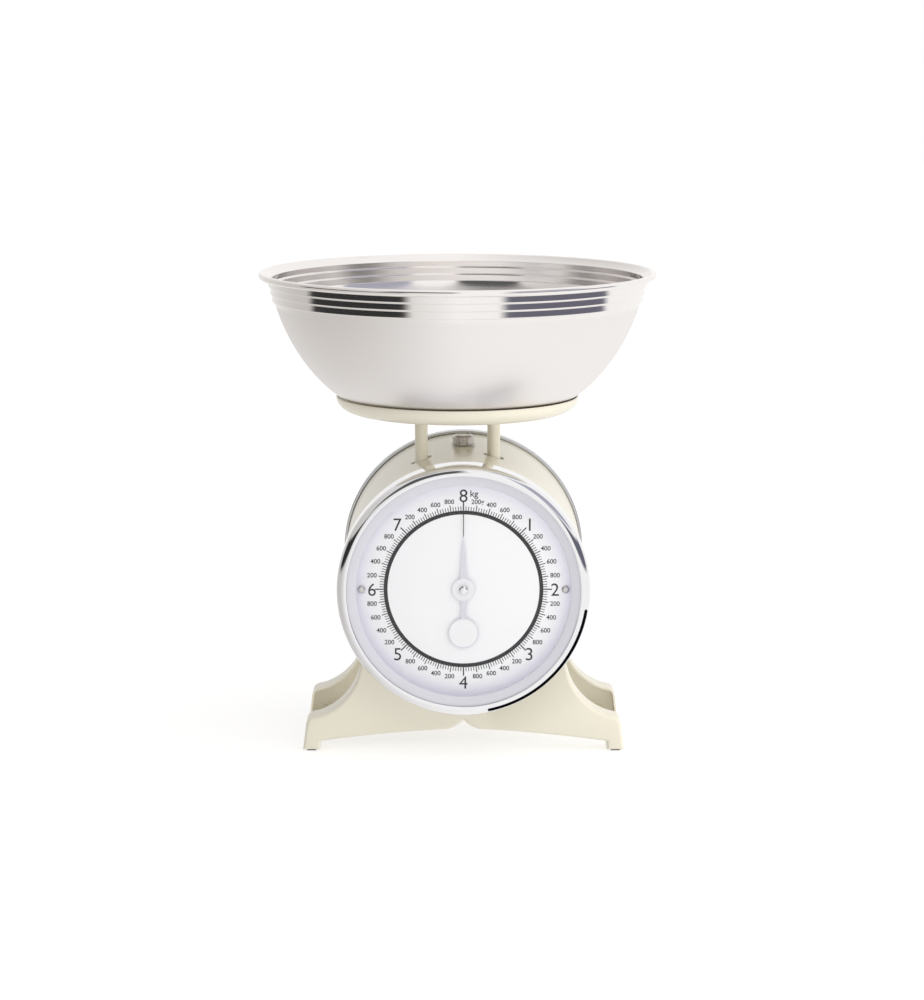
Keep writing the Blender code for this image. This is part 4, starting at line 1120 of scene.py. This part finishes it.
@dataclass
class Dial(Assembly):
    """Dial plate with its print and its two screws."""

    hub_hole: float = 0.0040
    print_depth: float = 0.00006
    track: float = 0.0473
    track_width: float = 0.0023
    tick_start: float = 0.0480
    kilos: int = 8
    kilo_radius: float = 0.0578
    kilo_spread: float = -0.0022
    kilo_height: float = 0.0081
    gram_radius: float = 0.0546
    gram_spread: float = 0.0017
    gram_height: float = 0.0029
    digit_share: float = 0.729
    kilo_curve_steps: int = 8
    gram_curve_steps: int = 4
    gram_weight: float = 0.00006
    unit_scale: float = 1.4
    unit_weight: float = 0.00005
    unit_right: float = 0.0064
    unit_up: float = 0.0012
    screw_head: float = 0.0025

    @property
    def axis(self) -> Vector:
        """Centre of the dial's front face."""
        plate = box("dial_plate")
        return Vector((plate.centre.x, plate.low.y, plate.centre.z))

    def plate(self) -> None:
        """Make the dial plate."""
        plate = box("dial_plate")
        profile = rounded([(self.hub_hole, plate.low.y, 0.0), (plate.radius, plate.low.y, 0.0001),
                           (plate.radius, plate.high.y, 0.0001), (self.hub_hole, plate.high.y, 0.0)], True)
        piece = turned("dial_face", profile, self.axis, Spine.DEEP, ring=True)
        self.hand_over(piece, Body.HOUSING, Slot.DIAL, "dial_plate")

    def spot(self, radius: float, angle: float) -> Vector:
        """Return a place on the dial's face, by radius and angle clockwise from the top."""
        out = Vector((math.sin(angle), 0.0, math.cos(angle))) * radius
        return self.axis + out + Vector((0.0, -self.print_depth / 2, 0.0))

    def ticks(self, count: int, end: float, width: float, lift: float) -> bpy.types.Object:
        """Make one kind of tick, evenly round the dial.

        Args:
            count: How many.
            end: Radius of their outer end.
            width: Their width.
            lift: How much higher they stand than the thinnest.

        Returns:
            The ticks as one object.
        """
        place = self.spot((self.tick_start + end) / 2, 0.0) + Vector((0.0, -lift / 2, 0.0))
        piece = block("ticks", (width, self.print_depth + lift, end - self.tick_start), place)
        bpy.ops.object.mode_set(mode="EDIT")
        bpy.ops.mesh.select_all(action="SELECT")
        bpy.ops.mesh.spin(steps=count, dupli=True, angle=2 * math.pi, center=self.axis, axis=Spine.DEEP.value)
        bpy.ops.mesh.select_all(action="SELECT")
        bpy.ops.mesh.remove_doubles(threshold=MERGE)
        bpy.ops.object.mode_set(mode="OBJECT")
        return piece

    def label(self, text: str, height: float, place: Vector, weight: float, smooth: int) -> bpy.types.Object:
        """Make one upright label as a thin raised mesh.

        Args:
            text: What it says.
            height: Height of a digit.
            place: Its middle.
            weight: How much heavier than the font's own strokes.
            smooth: Steps of the font's curves.

        Returns:
            The label.
        """
        deselect()
        bpy.ops.object.text_add(location=(0.0, 0.0, 0.0))
        piece = bpy.context.object
        piece.data.body = text
        piece.data.align_x = "CENTER"
        piece.data.size = height / self.digit_share
        piece.data.offset = weight
        piece.data.extrude = self.print_depth / 2
        piece.data.resolution_u = smooth
        bpy.ops.object.convert(target="MESH")
        low_point = Vector((0.0, 0.0, -height / 2))
        return seat(bpy.context.object, place + low_point, (math.pi / 2, 0.0, 0.0))

    def printing(self) -> None:
        """Make the print: the black track, the ticks and the numbers."""
        step = 2 * math.pi / self.kilos
        face = self.axis.y
        half = self.track_width / 2
        band = [(self.track - half, face), (self.track - half, face - self.print_depth * 1.6),
                (self.track + half, face - self.print_depth * 1.6), (self.track + half, face)]
        pieces = [turned("track", band, self.axis, Spine.DEEP, ring=True, facets=192)]
        for per_kilo, end, width, lift in TICKS:
            pieces.append(self.ticks(self.kilos * per_kilo, end, width, lift))
        for kilo in range(1, self.kilos + 1):
            angle = kilo * step
            place = self.spot(self.kilo_radius + self.kilo_spread * math.sin(angle) ** 2, angle)
            pieces.append(self.label(str(kilo), self.kilo_height, place, 0.0, self.kilo_curve_steps))
            for part in range(1, 5):
                text = str(200 * part) + ("g" if kilo == self.kilos and part == 1 else "")
                angle = (kilo + part / 5) * step
                place = self.spot(self.gram_radius + self.gram_spread * math.sin(angle) ** 2, angle)
                pieces.append(self.label(text, self.gram_height, place, self.gram_weight,
                                         self.gram_curve_steps))
        place = self.spot(self.kilo_radius, 0.0) + Vector((self.unit_right, 0.0, self.unit_up))
        height = self.gram_height * self.unit_scale
        pieces.append(self.label("kg", height, place, self.unit_weight, self.gram_curve_steps))
        piece = joined("dial_print", pieces)
        self.hand_over(piece, Body.HOUSING, Slot.DIAL, material=self.palette.ink)

    def screws(self) -> None:
        """Make the two dial screws."""
        for side in ("left", "right"):
            name = "dial_screw_" + side
            old = box(name)
            under = self.axis.y - GAP
            place = Vector((old.centre.x, under, old.centre.z))
            screws = Screws(self.palette)
            screws.fit(name, Body.HOUSING, self.screw_head, under - old.low.y, old.high.y - under, place,
                       (math.pi / 2, 0.0, 0.0))

    def build(self) -> None:
        """Make the dial."""
        self.plate()
        self.printing()
        self.screws()


@dataclass
class Pointer(Assembly):
    """Pointer with its counterweight, and the dome over its hub."""

    root_width: float = 0.0044
    waist_width: float = 0.0021
    waist: float = 0.0270
    tip_width: float = 0.0005
    reach: float = 0.0522
    hub: float = 0.0072
    tail_width: float = 0.0033
    tail: float = 0.0270
    weight: float = 0.0093
    edge: float = 0.00016

    def outline(self) -> Flat:
        """Return the outline, pointing up, from the tip down its right side and up its left."""
        hub_cut = math.asin(self.root_width / 2 / self.hub)
        tail_cut = math.asin(self.tail_width / 2 / self.hub)
        weight_cut = math.asin(self.tail_width / 2 / self.weight)
        right = [(self.tip_width / 2, self.reach), (self.tip_width / 2, self.waist + 2 * self.waist_width),
                 (self.waist_width / 2, self.waist)]
        right += arc(self.hub, math.pi / 2 - hub_cut, -(math.pi - hub_cut - tail_cut), 20)
        right += arc(self.weight, math.pi / 2 - weight_cut, -(math.pi - weight_cut), 28, (0.0, -self.tail))
        return right + [(-x, z) for x, z in reversed(right[:-1])]

    def build(self) -> None:
        """Make the pointer and its cap."""
        blade, cap = box("pointer"), box("pointer_cap")
        axis = box("drum_shell").centre
        place = Vector((axis.x, blade.low.y, axis.z))
        piece = pressed("pointer_blade", self.outline(), blade.high.y - blade.low.y, self.edge, place)
        self.hand_over(piece, Body.POINTER, Slot.POINTER, "pointer")

        foot, top = cap.high.y, cap.low.y
        high = foot - top
        dome = [(cap.radius * math.sin(angle), foot - high * (0.25 + 0.75 * math.cos(angle)))
                for angle in (math.pi / 2 * i / 10 for i in range(11))]
        profile = dome + [(cap.radius, foot), (0.0, foot)]
        piece = turned("pointer_dome", profile, axis, Spine.DEEP, facets=SMALL_FACETS)
        self.hand_over(piece, Body.POINTER, Slot.CHROME, "pointer_cap")


@dataclass
class ZeroKnob(Assembly):
    """Knurled zero knob on top of the drum."""

    crown: float = 0.0104
    flange: float = 0.0011
    ridges: int = 36
    rows: int = 5
    knurl: float = 0.00022
    inset: float = 0.0006
    groove: float = 0.0003
    crown_drop: float = 0.0013

    def build(self) -> None:
        """Make the knob."""
        knob = box("zero_knob")
        radius, low, high = knob.radius, knob.low.z, knob.high.z
        neck = radius - self.inset
        start, end = low + self.flange + self.groove, high - self.crown_drop
        side = [(neck, start + (end - start) * i / self.rows) for i in range(self.rows + 1)]
        base = rounded([(0.0, low, 0.0), (radius, low, 0.0003), (radius, low + self.flange, 0.0003),
                        (neck, low + self.flange, 0.0)])
        top = self.crown / 2
        crown = rounded([(neck, end, 0.0), (neck, high - 0.0009, 0.0002), (top + 0.0002, high - 0.0007, 0.0),
                         (top, high, 0.0003), (top - 0.0008, high, 0.0),
                         (top - 0.0012, high - 0.0003, 0.0), (0.0, high - 0.0003, 0.0)])
        centre = Vector((knob.centre.x, knob.centre.y, 0.0))
        piece = turned("zero_knob_knurled", base + side + crown[1:], centre, facets=2 * self.ridges)
        heights = [height for _, height in side[1:-1]]
        for vertex in piece.data.vertices:
            out = vertex.co - centre
            row = min(range(len(heights)), key=lambda i: abs(heights[i] - out.z))
            if abs(heights[row] - out.z) > MERGE:
                continue
            column = round(math.atan2(out.y, out.x) / (math.pi / self.ridges))
            if (column + row) % 2:
                vertex.select = True
        activate(piece)
        centre_override = (centre.x, centre.y, (low + high) / 2)
        bpy.ops.object.mode_set(mode="EDIT")
        share = 1 + self.knurl / neck
        bpy.ops.transform.resize(value=(share, share, 1.0), center_override=centre_override)
        bpy.ops.object.mode_set(mode="OBJECT")
        bpy.ops.object.shade_smooth_by_angle(angle=math.radians(12))
        self.hand_over(piece, Body.KNOB, Slot.KNOB, "zero_knob")


@dataclass
class Stands(Assembly):
    """Two pressed stands with their screws and the rubber pads under their feet."""

    depth: float = 0.018
    edge: float = 0.0022
    edge_steps: int = 5
    foot_width: float = 0.0105
    foot_height: float = 0.0205
    foot_taper: float = 0.0020
    shoulder_height: float = 0.0222
    shoulder_run: float = 0.0100
    leg_rise: float = 0.0060
    wrap: float = math.radians(52)
    leg_top: float = 0.0046
    arch_spring: float = 0.0060
    arch_crest: float = 0.0136
    arch_rise: float = 0.0009
    ogee_half: float = 0.011
    ogee_peak: float = 0.0196
    ogee_rise: float = 0.0012
    screw_tilt: float = math.radians(30)
    screw_head: float = 0.0029
    screw_height: float = 0.0014
    screw_length: float = 0.007
    hole_radius: float = 0.0018
    hole_depth: float = 0.008

    def outline(self) -> Flat:
        """Return the outline seen from the front, from the right foot up and round."""
        stand, drum = box("front_stand"), box("drum_shell")
        half, floor = stand.radius, stand.low.z
        bore = drum.radius + GAP
        axis = drum.centre.z
        shoulder = (half - self.shoulder_run, self.shoulder_height)
        reach = bore + self.leg_top
        top = (reach * math.sin(self.wrap), axis - reach * math.cos(self.wrap))
        foot = rounded([(half, floor, 0.0), (half - 1.25 * self.foot_taper, self.foot_height, 0.007),
                        (*shoulder, 0.0)])
        side = foot[:-1] + bow(shoulder, top, self.leg_rise, 22)
        cradle = arc(bore, -math.pi / 2 + self.wrap, -2 * self.wrap, 50, (0.0, axis))
        inner = half - self.foot_width
        crest = (self.ogee_half, self.arch_crest)
        ogee = bow((0.0, self.ogee_peak), crest, -self.ogee_rise, 9)
        arch = bow(crest, (inner, self.arch_spring), self.arch_rise, 18)
        under = ogee[:-1] + arch + [(inner, floor)]
        left_side = [(-x, z) for x, z in reversed(side)]
        left_under = [(-x, z) for x, z in reversed(under)]
        return side + cradle + left_side + left_under + under[1:]

    def pressing(self, node: str, name: str, facing: int) -> bpy.types.Object:
        """Press one stand: a face with its edges turned back all round.

        Args:
            node: The CAD node it stands for.
            name: The piece's name.
            facing: -1 if its face looks to the front, 1 to the back.

        Returns:
            The stand.
        """
        stand = box(node)
        face = stand.low.y if facing < 0 else stand.high.y
        piece = draw(name, [(stand.centre.x + x, face, z) for x, z in self.outline()], closed=True)
        bpy.ops.mesh.edge_face_add()
        bpy.ops.mesh.extrude_region_move(TRANSFORM_OT_translate={"value": (0.0, -facing * self.depth, 0.0)})
        bpy.ops.mesh.delete(type="ONLY_FACE")
        bpy.ops.mesh.select_all(action="SELECT")
        bpy.ops.mesh.normals_make_consistent(inside=False)
        bpy.ops.mesh.select_all(action="DESELECT")
        bpy.ops.mesh.select_mode(type="EDGE")
        shape = bmesh.from_edit_mesh(piece.data)
        for edge in shape.edges:
            edge.select = all(abs(vertex.co.y - face) < MERGE for vertex in edge.verts)
        bmesh.update_edit_mesh(piece.data)
        bpy.ops.mesh.bevel(offset=self.edge, segments=self.edge_steps, affect="EDGES", clamp_overlap=False)
        bpy.ops.mesh.select_mode(type="VERT")
        bpy.ops.object.mode_set(mode="OBJECT")
        flat = max(piece.data.polygons, key=lambda polygon: polygon.area)
        if flat.normal.y * facing < 0:
            piece.data.flip_normals()
        wall = piece.modifiers.new("sheet", "SOLIDIFY")
        wall.thickness = SHEET
        wall.offset = -1.0
        wall.use_even_offset = True
        apply(piece, wall)
        bpy.ops.object.shade_smooth_by_angle(angle=math.radians(35))
        return piece

    def screw_place(self, side: int, deep: float) -> tuple[Vector, Sequence[float]]:
        """Return the place and the turn of a screw up into the drum.

        Args:
            side: -1 for the left, 1 for the right.
            deep: Its place along the drum.

        Returns:
            The underside of its head, and its rotation.
        """
        drum = box("drum_shell")
        out = drum.radius + GAP + SHEET + GAP
        angle = side * self.screw_tilt
        place = Vector((drum.centre.x + out * math.sin(angle), deep, drum.centre.z - out * math.cos(angle)))
        return place, (0.0, math.pi - angle, 0.0)

    def build(self) -> None:
        """Make both stands, their screws and their pads."""
        for row, facing in (("front", -1), ("rear", 1)):
            node = row + "_stand"
            stand = self.pressing(node, node + "_pressing", facing)
            for side, sign in (("left", -1), ("right", 1)):
                name = "stand_screw_%s_%s" % (row, side)
                deep = box(name).centre.y
                place, turn = self.screw_place(sign, deep)
                cut(stand, rod("screw_hole", self.hole_radius, self.hole_depth, place, turn))
                screws = Screws(self.palette)
                screws.fit(name, Body.HOUSING, self.screw_head, self.screw_height, self.screw_length,
                           place, turn)
                pad = box("rubber_foot_%s_%s" % (row, side))
                piece = block("foot_pad_%s_%s" % (row, side), pad.high - pad.low, pad.centre, edge=0.0002)
                self.hand_over(piece, Body.HOUSING, Slot.RUBBER, "rubber_foot_%s_%s" % (row, side))
            activate(stand)
            bpy.ops.object.shade_smooth_by_angle(angle=math.radians(35))
            self.hand_over(stand, Body.HOUSING, Slot.IVORY, node)


@dataclass
class Movement(Assembly):
    """Works inside the drum, whose CAD shapes are right as they are."""

    def build(self) -> None:
        """Give every CAD node the finish of its slot."""
        for part in frame["record"]["subparts"]:
            node = frame["nodes"][part["node"]]
            node.data.materials.clear()
            node.data.materials.append(self.palette.slots[Slot(part["material_slot"])])


# --- Studio -----------------------------------------------------------------------------------

PANELS = (
    (-100, -30, -0.02, 0.26, (0.03, 0.03, 0.03)),
    (28, 102, -0.02, 0.26, (0.14, 0.14, 0.18)),
    (-46, 0, 0.34, 0.80, (0.10, 0.10, 0.10)),
    (34, 86, 0.34, 0.80, (0.42, 0.42, 0.50)),
)
"""Dark panels that the chrome and the steel reflect: azimuth in degrees, height and colour."""


@dataclass
class Studio:
    """Pale floor that glows a little, soft light, a black card and the camera."""

    floor_size: float = 12.0
    floor_colour: Colour = (0.55, 0.55, 0.55)
    floor_glow: float = 0.52
    ambient: float = 0.60
    sun_power: float = 1.1
    sun_spread: float = math.radians(75)
    sun_way: Corner = (0.50, -0.35, 1.1)
    panel_power: float = 2.6
    panel_size: float = 0.45
    panel_place: Corner = (0.60, -0.50, 0.34)
    card_radius: float = 0.093
    card_half: float = 0.010
    card_start: float = 1.75
    card_end: float = 2.95
    lens: float = 107.57
    tilt: float = math.radians(9.76)
    camera_place: Corner = (-0.0009, -1.836, 0.4652)   # X counts from the dial's axis

    def floor(self) -> None:
        """Lay a flat floor that glows a little."""
        deselect()
        bpy.ops.mesh.primitive_plane_add(size=self.floor_size, location=(0.0, 0.0, 0.0))
        floor = bpy.context.object
        floor.name = "floor"
        board = Board("pale_floor", self.floor_colour, 0.0, 0.55)
        tone = board.noise(board.place(), 3.0)
        board.wire(board.mix(tone, shade(self.floor_colour, 0.995), self.floor_colour), "Base Color")
        board.set("Specular IOR Level", 0.1)
        board.set("Emission Color", (1.0, 1.0, 1.0, 1.0))
        board.set("Emission Strength", self.floor_glow)
        floor.data.materials.append(board.material)
        floor.visible_glossy = False

    def sky(self) -> None:
        """Surround the scale: white for the camera, soft for the light, panels for the gloss."""
        world = bpy.data.worlds.new("studio")
        bpy.context.scene.world = world
        world.use_nodes = True
        world.node_tree.nodes.clear()
        sky = Nodes(world.node_tree)

        def window(value: bpy.types.NodeSocket, start: float, end: float,
                   soft: float) -> bpy.types.NodeSocket:
            """Return 1 between start and end, with soft edges."""
            rise = sky.span(value, start - soft, start + soft)
            return sky.maths("MULTIPLY", rise, sky.span(value, end - soft, end + soft, 1.0, 0.0))

        parts = sky.add("ShaderNodeSeparateXYZ", {0: sky.add("ShaderNodeTexCoord").outputs["Generated"]})
        across, height = parts.outputs["X"], parts.outputs["Z"]
        azimuth = sky.maths("ARCTAN2", across, sky.maths("MULTIPLY", parts.outputs["Y"], -1.0))
        gloss = sky.mix(sky.span(across, -0.95, 0.0), (0.60, 0.58, 0.56), (1.0, 0.99, 0.98))
        for start, end, low, high, colour in PANELS:
            turn = window(azimuth, math.radians(start), math.radians(end), 0.05)
            gloss = sky.mix(sky.maths("MULTIPLY", turn, window(height, low, high, 0.03)), gloss, colour)
        path = sky.add("ShaderNodeLightPath")
        seen = sky.mix(path.outputs["Is Glossy Ray"], (self.ambient,) * 3, gloss)
        seen = sky.mix(path.outputs["Is Camera Ray"], seen, (1.0, 1.0, 1.0))
        background = sky.add("ShaderNodeBackground", {"Color": seen})
        sky.tree.links.new(background.outputs[0], sky.add("ShaderNodeOutputWorld").inputs["Surface"])

    def lights(self) -> None:
        """Hang a wide soft sun high on the right and a panel that casts no shadow below it."""
        deselect()
        bpy.ops.object.light_add(type="SUN", location=(1.0, -1.0, 2.0))
        key = bpy.context.object
        key.name = "key_light"
        key.data.energy = self.sun_power
        key.data.angle = self.sun_spread
        key.rotation_euler = Vector(self.sun_way).to_track_quat("Z", "Y").to_euler()
        key.data.color = (1.0, 0.99, 0.97)
        key.visible_glossy = False
        bpy.ops.object.light_add(type="AREA", location=self.panel_place)
        panel = bpy.context.object
        panel.name = "side_panel"
        panel.data.size = self.panel_size
        panel.data.energy = self.panel_power
        panel.data.color = (1.0, 0.99, 0.98)
        panel.rotation_euler = Vector(self.panel_place).to_track_quat("Z", "Y").to_euler()
        panel.visible_glossy = False
        panel.data.use_shadow = False

    def card(self) -> None:
        """Curve a black card round the bezel's lower right, which only gloss can see."""
        centre = box("drum_shell").centre
        front = box("bezel").low.y
        deselect()
        bpy.ops.mesh.primitive_torus_add(major_radius=self.card_radius, minor_radius=self.card_half,
                                         major_segments=96, location=(centre.x, front, centre.z),
                                         rotation=(math.pi / 2, 0.0, 0.0))
        card = bpy.context.object
        card.name = "black_card"
        bpy.ops.object.transform_apply(location=True, rotation=True, scale=True)
        bpy.ops.object.mode_set(mode="EDIT")
        shape = bmesh.from_edit_mesh(card.data)
        for face in shape.faces:
            out = face.calc_center_median() - centre
            face.select = not self.card_start < math.atan2(out.x, out.z) < self.card_end
        bmesh.update_edit_mesh(card.data)
        bpy.ops.mesh.delete(type="FACE")
        bpy.ops.object.mode_set(mode="OBJECT")
        board = Board("card_black", (0.005, 0.005, 0.008), 0.0, 1.0)
        board.set("Specular IOR Level", 0.0)
        card.data.materials.append(board.material)
        card.visible_camera = False
        card.visible_diffuse = False
        card.visible_shadow = False
        card.visible_transmission = False

    def camera(self) -> None:
        """Set up the camera."""
        deselect()
        place = Vector(self.camera_place) + Vector((box("drum_shell").centre.x, 0.0, 0.0))
        bpy.ops.object.camera_add(location=place, rotation=(math.pi / 2 - self.tilt, 0.0, 0.0))
        camera = bpy.context.object
        camera.name = "camera"
        camera.data.sensor_fit = "VERTICAL"
        camera.data.sensor_height = 36.0
        camera.data.lens = self.lens
        bpy.context.scene.camera = camera

    def build(self) -> None:
        """Set up the studio."""
        self.floor()
        self.sky()
        self.lights()
        self.card()
        self.camera()
        bpy.context.scene.view_settings.view_transform = "Standard"


def main() -> None:
    """Build the scale round the frame."""
    logging.basicConfig(level=logging.INFO, format="%(name)s: %(message)s")
    palette = Palette()
    Movement(palette).build()
    for kind in (Bowl, Platform, Drum, Face, Dial, Pointer, ZeroKnob, Stands):
        kind(palette).build()
    Studio().build()
    deselect()


if __name__ == "__main__":
    main()
